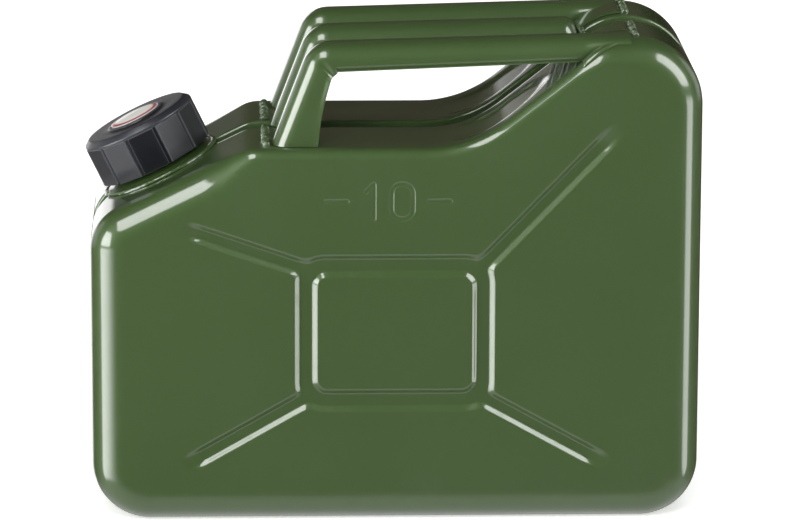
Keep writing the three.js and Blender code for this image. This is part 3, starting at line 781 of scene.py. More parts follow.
def groove_rows():
    """Rows over the groove's rounded edge, down its wall, up the lip and down inside it."""
    share = groove_share(OUT_X, OUT_Z)
    for angle in np.linspace(0, math.pi / 2, BEND_ROWS + 1)[1:]:
        yield (
            GROOVE_HALF + GROOVE_EDGE * (1 - math.sin(angle)),
            share * GROOVE_EDGE * (1 - math.cos(angle)),
            1.0,
        )
    floor = GROOVE_DEPTH - GROOVE_FILLET
    for t in (0.5, 1):
        yield GROOVE_HALF, share * mix(GROOVE_EDGE, floor, t), 0.1
    for angle in np.linspace(0, math.pi / 2, BEND_ROWS)[1:]:
        yield (
            GROOVE_HALF - GROOVE_FILLET * (1 - math.cos(angle)),
            share * (floor + GROOVE_FILLET * math.sin(angle)),
            0.0,
        )
    lip = SEAM_GAP + STEEL_SHEET
    yield lip + 0.6, share * GROOVE_DEPTH, 0.0
    yield lip, share * (GROOVE_DEPTH - 0.6), 0.0
    yield lip, share * (GROOVE_DEPTH - LIP_HEIGHT + 0.3), 0.6
    yield lip - 0.3, share * (GROOVE_DEPTH - LIP_HEIGHT), 0.8
    yield SEAM_GAP, share * (GROOVE_DEPTH - LIP_HEIGHT), 0.5
    yield SEAM_GAP, share * GROOVE_DEPTH + STEEL_SHEET, 0.0
    yield GROOVE_HALF + STEEL_SHEET, share * GROOVE_DEPTH + STEEL_SHEET, 0.0
    yield GROOVE_HALF + STEEL_SHEET, share * GROOVE_EDGE + STEEL_SHEET, 0.0


EDGE_RADII = edge_radius(OUT_X, OUT_Z)


def half_shell(name, side):
    rows = [*edge_rows(EDGE_RADII, 0), *side_rows(0), *groove_rows()]
    inner = [*edge_rows(EDGE_RADII - STEEL_SHEET, STEEL_SHEET), *side_rows(STEEL_SHEET)]
    rows += inner[::-1]
    points, folds = [], []
    for away, inset, fold in rows:
        place = outline + inward * np.broadcast_to(inset, len(outline))[:, None]
        away = np.broadcast_to(away, len(outline))
        points.append(np.column_stack([place[:, 0], side * away, place[:, 1]]))
        folds.append(np.full(len(outline), fold))
    count = len(outline)
    faces = grid_faces(len(rows), count, close_columns=True)
    flat, triangles = face_triangles(points[0][:, [0, 2]], -side)
    depth = face_depth(*flat.T, -side)
    slope = np.clip(depth / PRESS_DEPTH, 0, 1)
    first = len(rows) * count
    for skin, start_row in ((0, 0), (STEEL_SHEET, len(rows) - 1)):
        away = side * (HALF_DEPTH - skin - depth)
        points.append(np.column_stack([flat[:, 0], away, flat[:, 1]])[count:])
        folds.append((4 * slope * (1 - slope))[count:] * 0.6)
        for triangle in triangles:
            faces.append(
                tuple(c + start_row * count if c < count else c - count + first for c in triangle)
            )
        first += len(flat) - count
    return make_piece(name, np.vstack(points), faces, ENAMEL, edge=np.hstack(folds))


def on_neck(obj):
    """Stands a piece that was drawn upright round Z on the neck's foot, along its axis."""
    turn = Matrix.Rotation(-SHOULDER_ANGLE, 4, "Y")
    obj.data.transform(Matrix.Translation(NECK_FOOT * MM) @ turn)
    return obj


def turned(name, profile, finish, segments=144, **options):
    """Turns a closed profile of (radius, height) pairs round Z."""
    pairs = np.array(profile, float)
    angles = np.arange(segments) / segments * 2 * math.pi
    rings = [
        np.column_stack([pairs[:, 0] * math.cos(a), pairs[:, 0] * math.sin(a), pairs[:, 1]])
        for a in angles
    ]
    faces = grid_faces(segments, len(pairs), close_rows=True, close_columns=True)
    return make_piece(name, np.vstack(rings), faces, finish, **options)


NECK_RADIUS, NECK_WALL, NECK_HEIGHT = 26, 1.6, 25.3
GAP = 0.3


DRILL_REACH = 31


def cut_neck_hole(shell):
    """Opens the shoulder under the neck."""
    hole = NECK_RADIUS + GAP
    drill = on_neck(
        turned(
            "drill",
            [(0, -DRILL_REACH), (hole, -DRILL_REACH), (hole, DRILL_REACH), (0, DRILL_REACH)],
            ENAMEL,
        )
    )
    cut = shell.modifiers.new("neck_hole", "BOOLEAN")
    cut.object, cut.operation, cut.solver = drill, "DIFFERENCE", "MANIFOLD"
    before = len(shell.data.vertices)
    plain_mesh(shell)
    bpy.data.objects.remove(drill)
    print(shell.name, "vertices", before, "->", len(shell.data.vertices))
    return finish_mesh(shell, ENAMEL)


for name, side in (("near_half_shell", -1), ("far_half_shell", 1)):
    shell = cut_neck_hole(half_shell(name + "_pressed", side))
    declare(shell, "can", "enamel", name)

# %% [markdown]
# ## Weld beads
#
# A hand weld is a row of overlapping puddles, each a little different. Geometry Nodes suit
# that: the tree takes a line, drops a flattened ball at every step along it with a random
# size, adds a thin core so that no gap shows, and gives the result its lumpy finish. The same
# tree makes the seam weld and the welds at the feet and rear of the handle.

# %% Weld tree
def add_node(tree, kind, settings=None, **inputs):
    """A geometry node whose inputs are given by identifier, as values or sockets."""
    node = tree.nodes.new(kind)
    for key, value in (settings or {}).items():
        setattr(node, key, value)
    for key, value in inputs.items():
        names = key, key.replace("_", " ")
        socket = next(s for s in node.inputs if s.identifier in names)
        if isinstance(value, bpy.types.NodeSocket):
            tree.links.new(value, socket)
        else:
            socket.default_value = value
    return node


def new_tree(name, **sizes):
    """A geometry tree with a Geometry input and output, and one named input for each size."""
    tree = bpy.data.node_groups.new(name, "GeometryNodeTree")
    face = tree.interface
    face.new_socket("Geometry", in_out="OUTPUT", socket_type="NodeSocketGeometry")
    face.new_socket("Geometry", in_out="INPUT", socket_type="NodeSocketGeometry")
    for key, value in sizes.items():
        kind = {int: "NodeSocketInt", float: "NodeSocketFloat"}.get(type(value))
        socket = face.new_socket(key, in_out="INPUT", socket_type=kind or "NodeSocketMaterial")
        if kind:
            socket.default_value = value
    source = tree.nodes.new("NodeGroupInput")
    return tree, {s.name: s for s in source.outputs if s.name}


def tree_sum(tree, operation, a, b):
    """The output of one Math node."""
    node = add_node(tree, "ShaderNodeMath", {"operation": operation}, Value=a, Value_001=b)
    return node.outputs[0]


def circle(tree, radius, resolution):
    """The round section that a bead or a ridge is swept from."""
    return add_node(
        tree, "GeometryNodeCurvePrimitiveCircle", {"mode": "RADIUS"}, Resolution=resolution,
        Radius=radius,
    ).outputs[0]


def end_tree(tree, geometry, finish):
    """Ends a tree in real, smooth faces with their material."""
    real = add_node(tree, "GeometryNodeRealizeInstances", Geometry=geometry)
    soft = add_node(tree, "GeometryNodeSetShadeSmooth", Geometry=real.outputs[0])
    painted = add_node(
        tree, "GeometryNodeSetMaterial", Geometry=soft.outputs[0], Material=finish
    )
    tree.links.new(painted.outputs[0], tree.nodes.new("NodeGroupOutput").inputs[0])
    return tree


def run_tree(obj, tree, finish, **sizes):
    """Runs a tree on an object, and leaves the plain mesh it makes."""
    modifier = obj.modifiers.new(tree.name, "NODES")
    modifier.node_group = tree
    identifiers = {
        s.name: s.identifier
        for s in tree.interface.items_tree
        if s.item_type == "SOCKET" and s.in_out == "INPUT"
    }
    for key, value in {**sizes, "Finish": finish}.items():
        modifier[identifiers[key]] = value
    return finish_mesh(plain_mesh(obj), finish)


def bake(name, tree, points, edges, finish, **sizes):
    """Runs a tree on a wire of points in millimetres."""
    wire = bpy.data.meshes.new(name)
    wire.from_pydata((np.asarray(points, float) * MM).tolist(), edges, [])
    obj = bpy.data.objects.new(name, wire)
    bpy.context.scene.collection.objects.link(obj)
    return run_tree(obj, tree, finish, **sizes)


PUDDLE_SHAPE, CORE_SHARE = (0.95, 0.95, 0.6), 0.78


def weld_tree():
    tree, size = new_tree(
        "weld_bead", Radius=0.003, Spacing=0.002, Unevenness=0.25, Detail=2, Seed=1, Finish=None
    )
    line = add_node(tree, "GeometryNodeMeshToCurve", Mesh=size["Geometry"])
    steps = add_node(
        tree,
        "GeometryNodeCurveToPoints",
        {"mode": "LENGTH"},
        Curve=line.outputs[0],
        Length=size["Spacing"],
    )
    ball = add_node(
        tree, "GeometryNodeMeshIcoSphere", Radius=size["Radius"], Subdivisions=size["Detail"]
    )
    random = add_node(
        tree,
        "FunctionNodeRandomValue",
        {"data_type": "FLOAT"},
        Min_001=tree_sum(tree, "SUBTRACT", 1.0, size["Unevenness"]),
        Max_001=tree_sum(tree, "ADD", 1.0, size["Unevenness"]),
        Seed=size["Seed"],
    )
    flat = add_node(tree, "ShaderNodeVectorMath", {"operation": "SCALE"}, Vector=PUDDLE_SHAPE)
    tree.links.new(random.outputs["Value"], flat.inputs["Scale"])
    puddles = add_node(
        tree,
        "GeometryNodeInstanceOnPoints",
        Points=steps.outputs["Points"],
        Instance=ball.outputs[0],
        Rotation=steps.outputs["Rotation"],
        Scale=flat.outputs[0],
    )
    ring = circle(tree, tree_sum(tree, "MULTIPLY", size["Radius"], CORE_SHARE), 10)
    even = add_node(
        tree, "GeometryNodeResampleCurve", {"mode": "LENGTH"}, Curve=line.outputs[0],
        Length=size["Spacing"],
    )
    core = add_node(
        tree,
        "GeometryNodeCurveToMesh",
        Curve=even.outputs[0],
        Profile_Curve=ring,
        Fill_Caps=True,
    )
    both = tree.nodes.new("GeometryNodeJoinGeometry")
    tree.links.new(core.outputs[0], both.inputs[0])
    tree.links.new(puddles.outputs[0], both.inputs[0])
    return end_tree(tree, both.outputs[0], size["Finish"])


WELD_TREE = weld_tree()


def weld_line(name, points, radius, spacing, seed, detail=2, unevenness=0.22, finish=None):
    """A weld bead along a line of points in millimetres."""
    edges = [(i, i + 1) for i in range(len(points) - 1)]
    return bake(
        name, WELD_TREE, points, edges, finish or WELD,
        Radius=radius * MM, Spacing=spacing * MM, Unevenness=unevenness, Detail=detail, Seed=seed,
    )


# %% Seam weld
SEAM_RADIUS = 1.35
seam_inset = GROOVE_DEPTH - LIP_HEIGHT - SEAM_RADIUS * 0.7
seam = outline + inward * seam_inset
from_neck = np.hypot(seam[:, 0] - NECK_FOOT.x, seam[:, 1] - NECK_FOOT.z)
clear = from_neck > NECK_PAD + GROOVE_FADE[1] + 4
start = int(np.argmax(clear & ~np.roll(clear, 1)))
seam, clear = np.roll(seam, -start, axis=0), np.roll(clear, -start)
seam_points = [(x, 0, z) for x, z in seam[clear]]
weld = weld_line("seam_weld_bead", seam_points, SEAM_RADIUS, 1.9, seed=3, detail=2)
declare(weld, "can", "painted_weld", "seam_weld")

# %% [markdown]
# ## Handle bars
#
# Each bar is a channel pressed from sheet: a leg that leans back from the shoulder, a tight
# bend, and a long crest with rounded top edges and a rolled-in lip beneath. It is lofted
# through stations along that path. A station knows the bar's outer line and its lower edge,
# and the section between them is half round on top, with straight sides. Behind, the sides
# run out on the can, and the outer bars flatten into plates that are welded down.

# %% Handle measures
BAR_SHEET = 1.2
bar_high = node_box("centre_handle_bar")[1]
BAR_HALF = bar_high[1]
BAR_SIDE_INSET, BAR_ROUND = 7.5, 11.5
BAR_PITCH = HALF_DEPTH - BAR_SIDE_INSET - BAR_HALF
LEG_FOOT_X, LEG_LEAN = BREAK_X + 12, 22
FRONT_DROP = 3.3
FRONT_X, FRONT_Z = LEG_FOOT_X + LEG_LEAN, TOP - FRONT_DROP
FRONT_RADIUS = 18
LEG_FOOT_WIDTH, LEG_TOP_WIDTH = 26, 12
SIDE_FRONT, SIDE_REAR = 15.8, 13.6
OUTER_END_X = node_box("near_handle_bar")[1][0]
CENTRE_END_X = bar_high[0]
CREST_REAR = TOP + GAP + BAR_SHEET
CREST_SLOPE = (CREST_REAR - FRONT_Z) / (OUTER_END_X - FRONT_X)
TIP_RUN = 9
LAP_RUN = 27
LAP_X = OUTER_END_X - LAP_RUN
LAP_INNER, LAP_OUTER_FRONT, LAP_OUTER_REAR = BAR_HALF + 1.5, HALF_DEPTH - 1.9, BAR_PITCH + 9


def crest_height(x):
    return FRONT_Z + (x - FRONT_X) * CREST_SLOPE


def bar_stations(end_x):
    """Outer line, lower edge, share of the bend's crease, and share of the rolled lip."""
    foot = np.array([LEG_FOOT_X, HAND_HEIGHT + GAP])
    bend = np.array([FRONT_X, FRONT_Z])
    up = (bend - foot) / np.linalg.norm(bend - foot)
    along = np.array([1, CREST_SLOPE]) / math.hypot(1, CREST_SLOPE)
    turn = math.acos(float(up @ along))
    reach = FRONT_RADIUS * math.tan(turn / 2)
    bend_start, bend_end = bend - up * reach, bend + along * reach
    centre = bend_start + np.array([up[1], -up[0]]) * FRONT_RADIUS
    leg_top_x = FRONT_X + LEG_TOP_WIDTH
    rear_foot = foot + [LEG_FOOT_WIDTH, 0]
    rear_top = np.array([leg_top_x - 0.6, crest_height(leg_top_x) - SIDE_FRONT - 3.2])
    lower_start = np.array([leg_top_x + 3, crest_height(leg_top_x + 3) - SIDE_FRONT])
    stations = []
    for t in np.linspace(0, 1, 16, endpoint=False):
        bow = 1.2 * math.sin(math.pi * t)
        rear = mix(rear_foot, rear_top, t) - [bow, 0]
        stations.append((mix(foot, bend_start, t), rear, 0.0, -0.5 * t))
    for t in np.linspace(0, 1, 15, endpoint=False):
        angle = turn * t
        outward = np.array([-up[1], up[0]]) * math.cos(angle) + up * math.sin(angle)
        crease = math.exp(-(((t - 0.42) / 0.13) ** 2))
        lower = mix(rear_top, lower_start, smooth(0.1, 0.9, t))
        stations.append((centre + outward * FRONT_RADIUS, lower, crease, t - 0.5))
    for x in np.linspace(bend_end[0], end_x, 64):
        depth = mix(SIDE_FRONT, SIDE_REAR, (x - FRONT_X) / (OUTER_END_X - FRONT_X))
        stations.append((np.array([x, crest_height(x)]), np.array([x, crest_height(x) - depth]),
                         0.0, 1.0))
    return stations


SECTION_ROUND, SECTION_SIDE = 12, 9
ROLL_IN, ROLL_RUN, CREASE_DEPTH = 2.6, 4.5, 1.1


def bar_section(middle_y, outer, lower, crease, roll, narrow, skin):
    """Points of one half-open section, from one lower edge over the top to the other."""
    points = []
    half = (BAR_HALF - skin) * narrow
    for side in (-1, 1):
        edge_y = middle_y + side * half
        down = lower - outer
        drop = np.linalg.norm(down)
        down = down / max(drop, 1e-6)
        if roll >= 1:
            floor_z = can_top(outer[0], edge_y) + GAP
            drop = max(min(drop, outer[1] - floor_z), BAR_SHEET + 0.1)
        depth_round = min(BAR_ROUND, drop * 0.98) - skin * min(1, drop / BAR_ROUND)
        row = []
        for angle in np.linspace(0, math.pi / 2, SECTION_ROUND + 1):
            across = half - (BAR_ROUND - skin) * (1 - math.sin(angle))
            row.append((across, skin + max(depth_round, 0) * (1 - math.cos(angle))))
        reached = row[-1][1]
        for t in np.linspace(0, 1, SECTION_SIDE + 1)[1:]:
            row.append((half, mix(reached, max(drop, reached), t)))
        free = smooth(6, 11, drop)
        placed = []
        for across, depth in row:
            tuck = smooth(drop - ROLL_RUN, drop, depth) ** 2 * ROLL_IN * max(roll, -0.6) * free
            dent = crease * CREASE_DEPTH * smooth(5, 12, depth)
            y = middle_y + side * (across - tuck - dent)
            xz = outer + down * depth
            placed.append((xz[0], y, xz[1]))
        points += placed[::-1] if side < 0 else placed
    return points


def handle_bar(name, middle_y, end_x, rounded_tip):
    sections, folds = [], []
    for outer, lower, crease, roll in bar_stations(end_x):
        narrow = 1.0
        past = (outer[0] - (end_x - TIP_RUN)) / TIP_RUN
        if rounded_tip and past > 0:
            past = min(past, 0.995)
            outer = outer - [0, TIP_RUN * (1 - math.sqrt(1 - past**2))]
            narrow = math.sqrt(1 - 0.8 * past**2)
        skins = [
            bar_section(middle_y, outer, lower, crease, roll, narrow, skin)
            for skin in (0, BAR_SHEET)
        ]
        sections.append(skins[0] + skins[1][::-1])
        width = len(skins[0])
        fold = np.zeros(2 * width)
        fold[[0, 1, width - 2, width - 1]] = 0.8
        folds.append(fold + crease * 0.6)
    count = len(sections[0])
    faces = grid_faces(len(sections), count, close_columns=True)
    faces += end_faces(len(sections), count)
    return make_piece(name, np.vstack(sections), faces, ENAMEL, sharp=50, edge=np.hstack(folds))


def lap_plate(side):
    """The plate behind an outer bar, which follows the top of the can."""
    xs = np.linspace(LAP_X, OUTER_END_X, 22)
    top_rows, low_rows = [], []
    for x in xs:
        share = (x - LAP_X) / (OUTER_END_X - LAP_X)
        ys = np.linspace(LAP_INNER, mix(LAP_OUTER_FRONT, LAP_OUTER_REAR, share**1.6), 40)
        rise = can_top(x, ys) + GAP
        rim = np.minimum(np.minimum(ys - ys[0], ys[-1] - ys), min(x - xs[0], xs[-1] - x) + 0.2)
        round_over = 0.7 * (1 - smooth(0, 1.6, rim))
        top_rows.append(np.column_stack([np.full(40, x), side * ys, rise + BAR_SHEET - round_over]))
        low_rows.append(np.column_stack([np.full(40, x), side * ys, rise]))
    rings = [np.vstack([up, low[::-1]]) for up, low in zip(top_rows, low_rows)]
    count = len(rings[0])
    faces = grid_faces(len(rings), count, close_columns=True) + end_faces(len(rings), count)
    return make_piece("plate", np.vstack(rings), faces, ENAMEL, sharp=60)


for name, side in (("near_handle_bar", -1), ("far_handle_bar", 1)):
    bar = handle_bar(name + "_pressed", side * BAR_PITCH, OUTER_END_X, False)
    declare(join(bar, lap_plate(side)), "can", "enamel", name)
bar = handle_bar("centre_handle_bar_pressed", 0, CENTRE_END_X, True)
declare(bar, "can", "enamel", "centre_handle_bar")

# %% [markdown]
# ## Handle welds
#
# One rough run of weld crosses the can in front of the legs, broken where the seam groove
# passes. Behind, each plate has its own run across the tall shoulder, and the middle bar a
# short one under its tip. They take their places from the frame's plain beads.

# %% Handle welds
def cross_weld(node, radius, spacing, seed, sink):
    """A weld across the can, through the middle of a plain bead of the frame."""
    low, high = node_box(node)
    x = (low[0] + high[0]) / 2
    points = []
    for y in np.arange(low[1] + radius, high[1] - radius, 1.0):
        wander = 0.5 * math.sin(y * 0.9 + seed)
        points.append((x + wander, y, min(can_top(x, y), high[2]) + sink))
    return weld_line(node + "_bead", points, radius, spacing, seed, detail=3)


for seed, (node, radius, sink) in enumerate(
    (
        ("near_front_weld", 2.5, 0.2),
        ("far_front_weld", 2.5, 0.2),
        ("near_rear_weld", 2.0, 0.1),
        ("far_rear_weld", 2.0, 0.1),
        ("centre_rear_weld", 1.7, 0.3),
    )
):
    declare(cross_weld(node, radius, 1.9, seed + 11, sink), "can", "painted_weld", node)

# %% [markdown]
# ## Neck, thread and the bead round it
#
# The neck is spun steel with a wide fillet that sweeps out into a skirt. Its thread is a
# round ridge, rolled two turns round it, and the cap has the same ridge inside. A helix is
# a rule, so Geometry Nodes make both: a spiral and a round section swept along it.

# %% Thread tree
THREAD_PITCH, THREAD_TURNS, THREAD_RADIUS = 5.0, 2.0, 1.25
THREAD_START, THREAD_BURY, THREAD_PLAY = 10, 0.3, 0.8


def thread_tree():
    tree, size = new_tree(
        "thread_ridge", Radius=0.026, Turns=2.0, Pitch=0.005, Ridge=0.00125, Start=0.01,
        Finish=None,
    )
    spiral = tree.nodes.new("GeometryNodeCurveSpiral")
    spiral.inputs["Resolution"].default_value = 90
    for socket, source in (
        ("Rotations", size["Turns"]),
        ("Start Radius", size["Radius"]),
        ("End Radius", size["Radius"]),
        ("Height", tree_sum(tree, "MULTIPLY", size["Turns"], size["Pitch"])),
    ):
        tree.links.new(source, spiral.inputs[socket])
    ridge = add_node(
        tree, "GeometryNodeCurveToMesh", Curve=spiral.outputs[0],
        Profile_Curve=circle(tree, size["Ridge"], 12), Fill_Caps=True,
    )
    up = add_node(tree, "ShaderNodeCombineXYZ", Z=size["Start"])
    lifted = add_node(
        tree, "GeometryNodeTransform", Geometry=ridge.outputs[0], Translation=up.outputs[0]
    )
    return end_tree(tree, lifted.outputs[0], size["Finish"])


THREAD_TREE = thread_tree()


def thread_ridge(radius, start, finish):
    return bake(
        "thread", THREAD_TREE, [(0, 0, 0)], [], finish,
        Radius=radius * MM, Turns=THREAD_TURNS, Pitch=THREAD_PITCH * MM,
        Ridge=THREAD_RADIUS * MM, Start=start * MM,
    )


# %% Neck
SKIRT_FLARE, SKIRT_SHEET, NECK_TAIL = 7, 1.2, 6
SKIRT_RADIUS = NECK_RADIUS + SKIRT_FLARE
BORE = NECK_RADIUS - NECK_WALL


def arc(centre, radius, start, end, steps):
    """Points on an arc, with angles in degrees."""
    angles = np.radians(np.linspace(start, end, steps))
    return [(centre[0] + radius * math.cos(a), centre[1] + radius * math.sin(a)) for a in angles]


skirt_top = GAP + SKIRT_SHEET
lip_round = NECK_WALL / 2
neck_profile = [
    (BORE, -NECK_TAIL),
    (NECK_RADIUS, -NECK_TAIL),
    (NECK_RADIUS, GAP),
    (SKIRT_RADIUS - 0.3, GAP),
    *arc((SKIRT_RADIUS - 0.6, skirt_top - 0.6), 0.6, 0, 90, 5),
    *arc((SKIRT_RADIUS, skirt_top + SKIRT_FLARE), SKIRT_FLARE, 265, 180, 18),
    *arc((NECK_RADIUS - lip_round, NECK_HEIGHT - lip_round), lip_round, 0, 180, 9),
]
collar = turned("neck_collar_spun", neck_profile, ENAMEL)
collar = join(collar, thread_ridge(NECK_RADIUS + THREAD_BURY, THREAD_START, ENAMEL))
declare(on_neck(collar), "can", "enamel", "neck_collar")

NECK_BEAD_ACROSS, NECK_BEAD_UP = 2.6, 1.8
bead_in = SKIRT_RADIUS + 0.1
angles = np.linspace(0, 2 * math.pi, 180, endpoint=False)
bead_rings = []
for k, angle in enumerate(angles):
    swell = 1 + 0.10 * math.sin(angle * 41) + 0.06 * math.sin(angle * 17 + 1)
    across, up = NECK_BEAD_ACROSS * min(swell, 1.0), NECK_BEAD_UP * min(swell, 1.0)
    section = [(bead_in, GAP - 0.1), (bead_in, up * 0.95)]
    section += [
        (bead_in + across * math.sin(a) ** 0.8, GAP - 0.1 + up * math.cos(a) ** 0.8)
        for a in np.radians((18, 36, 54, 72, 88))
    ]
    bead_rings.append([(r * math.cos(angle), r * math.sin(angle), h) for r, h in section])
bead_faces = grid_faces(len(angles), len(bead_rings[0]), True, True)
bead = make_piece("neck_weld_bead", np.vstack(bead_rings), bead_faces, ENAMEL, sharp=60)
declare(on_neck(bead), "can", "enamel", "neck_weld")

# %% [markdown]
# ## Breather tube and its clip
#
# Air gets in behind the fuel through a thin tube from the neck to the tall shoulder. It is
# drawn steel, bent along a smooth line, and a folded strap holds it under the groove.

# %% Tube and clip
TUBE_RADIUS, TUBE_WALL, TUBE_CLEAR = 4, 0.8, 3
CLIP_BEFORE_RISE, CLIP_WIDTH, CLIP_SHEET, CLIP_PLAY = 37, 10, 1.4, 0.6
CLIP_X = RISE_FOOT_X - CLIP_BEFORE_RISE


def tube_route():
    """Route of the tube, from inside the neck to the space under the tall shoulder."""
    inset = NECK_RADIUS - NECK_WALL - 2.4 - TUBE_RADIUS
    slope = Vector((math.cos(SHOULDER_ANGLE), 0, math.sin(SHOULDER_ANGLE)))
    below = GROOVE_DEPTH + STEEL_SHEET + TUBE_RADIUS + TUBE_CLEAR
    ceiling = HAND_HEIGHT - below
    route = [NECK_FOOT + slope * inset + NECK_AXIS * h for h in (NECK_HEIGHT - 4, 0, -14)]
    route += [
        Vector((BREAK_X + 4, 0, ceiling - 8)),
        Vector((BREAK_X + 40, 0, ceiling)),
        Vector((CLIP_X - CLIP_WIDTH, 0, ceiling)),
        Vector((CLIP_X + CLIP_WIDTH, 0, ceiling)),
    ]
    for run in (22, 42, 62):
        height = HAND_HEIGHT + run * math.tan(RISE_ANGLE) - below / math.cos(RISE_ANGLE)
        route.append(Vector((RISE_FOOT_X + run, 0, height)))
    return route


def smooth_line(points, steps=10):
    """A Catmull-Rom line through the points."""
    padded = [points[0] * 2 - points[1], *points, points[-1] * 2 - points[-2]]
    line = []
    for a, b, c, d in zip(padded, padded[1:], padded[2:], padded[3:]):
        for t in np.linspace(0, 1, steps, endpoint=False):
            line.append(
                0.5 * (2 * b + (c - a) * t + (2 * a - 5 * b + 4 * c - d) * t**2
                       + (3 * b - a - 3 * c + d) * t**3)
            )
    return [*line, points[-1]]


def tube_along(name, line, radius, wall, finish, sides=24):
    rings = []
    for i, place in enumerate(line):
        ahead = (line[min(i + 1, len(line) - 1)] - line[max(i - 1, 0)]).normalized()
        across = Vector((0, 1, 0))
        up = ahead.cross(across)
        angles = np.arange(sides) / sides * 2 * math.pi
        rings.append([place + (across * math.cos(a) + up * math.sin(a)) * radius for a in angles])
    rings += [
        [mix(line[i], point, (radius - wall) / radius) for point in rings[i]]
        for i in reversed(range(len(line)))
    ]
    faces = grid_faces(len(rings), sides, close_rows=True, close_columns=True)
    return make_piece(name, [tuple(p) for ring in rings for p in ring], faces, finish, sharp=50)


tube = tube_along("breather_tube_drawn", smooth_line(tube_route()), TUBE_RADIUS, TUBE_WALL, STEEL)
declare(tube, "can", "bare_steel", "breather_tube")


def rounded_box(y_half, z_low, z_high, radius, steps=6):
    """An upright rounded outline in Y and Z."""
    corners = [(y_half, z_low, -90), (y_half, z_high, 0), (-y_half, z_high, 90),
               (-y_half, z_low, 180)]
    points = []
    for y, z, start in corners:
        centre = (y - math.copysign(radius, y), z + (radius if z == z_low else -radius))
        points += arc(centre, radius, start, start + 90, steps)
    return np.array(points)


clip_top = HAND_HEIGHT - GROOVE_DEPTH - STEEL_SHEET - GAP
clip_middle = clip_top + GAP - TUBE_RADIUS - TUBE_CLEAR
clip_in = TUBE_RADIUS + CLIP_PLAY
clip_out = clip_in + CLIP_SHEET
strap = rounded_box(clip_out, clip_middle - clip_out, clip_top, 1.6)
passage = rounded_box(clip_in, clip_middle - clip_in, clip_middle + clip_in, clip_in * 0.8)
clip_rings = []
for loop, grow in ((strap, -0.3), (passage, 0.3)):
    centre = loop.mean(0)
    shrunk = centre + (loop - centre) * (1 + grow / clip_out)
    sides = [(-1, shrunk, 0), (-1, loop, 0.3), (1, loop, 0.3), (1, shrunk, 0)]
    order = sides if grow < 0 else sides[::-1]
    for side, ring, inset in order:
        x = CLIP_X + side * (CLIP_WIDTH / 2 - inset)
        clip_rings.append(np.column_stack([np.full(len(ring), x), ring]))
clip_faces = grid_faces(len(clip_rings), len(strap), True, True)
clip = make_piece("breather_clip_folded", np.vstack(clip_rings), clip_faces, STEEL, sharp=50)
declare(clip, "can", "bare_steel", "breather_clip")

# %% [markdown]
# ## Cap
#
# The cap repeats twelve times round its axis: a flat grip, a narrow groove, and the same
# again, under a round bevelled rim. One twelfth is lofted from its inside wall to its top,
# and a Geometry Nodes tree turns copies of it round the axis and merges them. The boss, the
# roof and the inner thread are added to it.

# %% Repeat tree
CAP_WALL, CAP_LIFT, CAP_SIDE, CAP_ROOF = 5.6, 5.5, 24, 3
BEVEL_ACROSS, BEVEL_UP = 3.5, 3
RIM_SET_BACK = 0.55
GRIP_COUNT, GRIP_WIDTH, GRIP_DEPTH, GRIP_TURN = 12, 2.4, 1.3, math.radians(2)
CAP_INNER = NECK_RADIUS + THREAD_BURY + THREAD_RADIUS + THREAD_PLAY
CAP_RADIUS = CAP_INNER + CAP_WALL
CAP_TOP = CAP_LIFT + CAP_SIDE + BEVEL_UP
LABEL_RADIUS, LABEL_SHEET, LABEL_DOME, BOSS_UP = 15, 0.8, 1.6, 1


def repeat_tree():
    tree, size = new_tree("repeat_round_axis", Count=12, Finish=None)
    places = add_node(tree, "GeometryNodePoints", Count=size["Count"])
    index = tree.nodes.new("GeometryNodeInputIndex")
    share = tree_sum(tree, "DIVIDE", index.outputs[0], size["Count"])
    angle = tree_sum(tree, "MULTIPLY", share, 2 * math.pi)
    turn = add_node(tree, "ShaderNodeCombineXYZ", Z=angle)
    rotation = add_node(tree, "FunctionNodeEulerToRotation", Euler=turn.outputs[0])
    copies = add_node(
        tree, "GeometryNodeInstanceOnPoints", Points=places.outputs[0],
        Instance=size["Geometry"], Rotation=rotation.outputs[0],
    )
    real = add_node(tree, "GeometryNodeRealizeInstances", Geometry=copies.outputs[0])
    merged = add_node(
        tree, "GeometryNodeMergeByDistance", Geometry=real.outputs[0], Distance=0.00001
    )
    return end_tree(tree, merged.outputs[0], size["Finish"])


REPEAT_TREE = repeat_tree()


# %% Cap wall
def grip_radius(angle):
    """Radius of the grips at an angle from the middle of a flat: a flat, then a groove."""
    half_pitch = math.pi / GRIP_COUNT
    half_groove = GRIP_WIDTH / 2 / CAP_RADIUS
    flat_end = half_pitch - half_groove
    flat = CAP_RADIUS * math.cos(flat_end) / np.cos(np.minimum(np.abs(angle), flat_end))
    into = smooth(flat_end - 0.004, flat_end + 0.010, np.abs(angle))
    return mix(flat, CAP_RADIUS - GRIP_DEPTH, into)


flat_end = math.pi / GRIP_COUNT - GRIP_WIDTH / 2 / CAP_RADIUS
half_angles = np.concatenate(
    [
        np.linspace(0, flat_end - 0.010, 7),
        np.linspace(flat_end - 0.006, flat_end + 0.012, 8),
        [math.pi / GRIP_COUNT],
    ]
)
wedge_angles = np.concatenate([-half_angles[:0:-1], half_angles])
GRIP_TOP = CAP_LIFT + CAP_SIDE - 1.2
rim_low = CAP_LIFT + CAP_SIDE - 0.4
boss_radius = LABEL_RADIUS + 1.5
label_seat = CAP_TOP + BOSS_UP - LABEL_SHEET
roof_under = CAP_TOP - CAP_ROOF


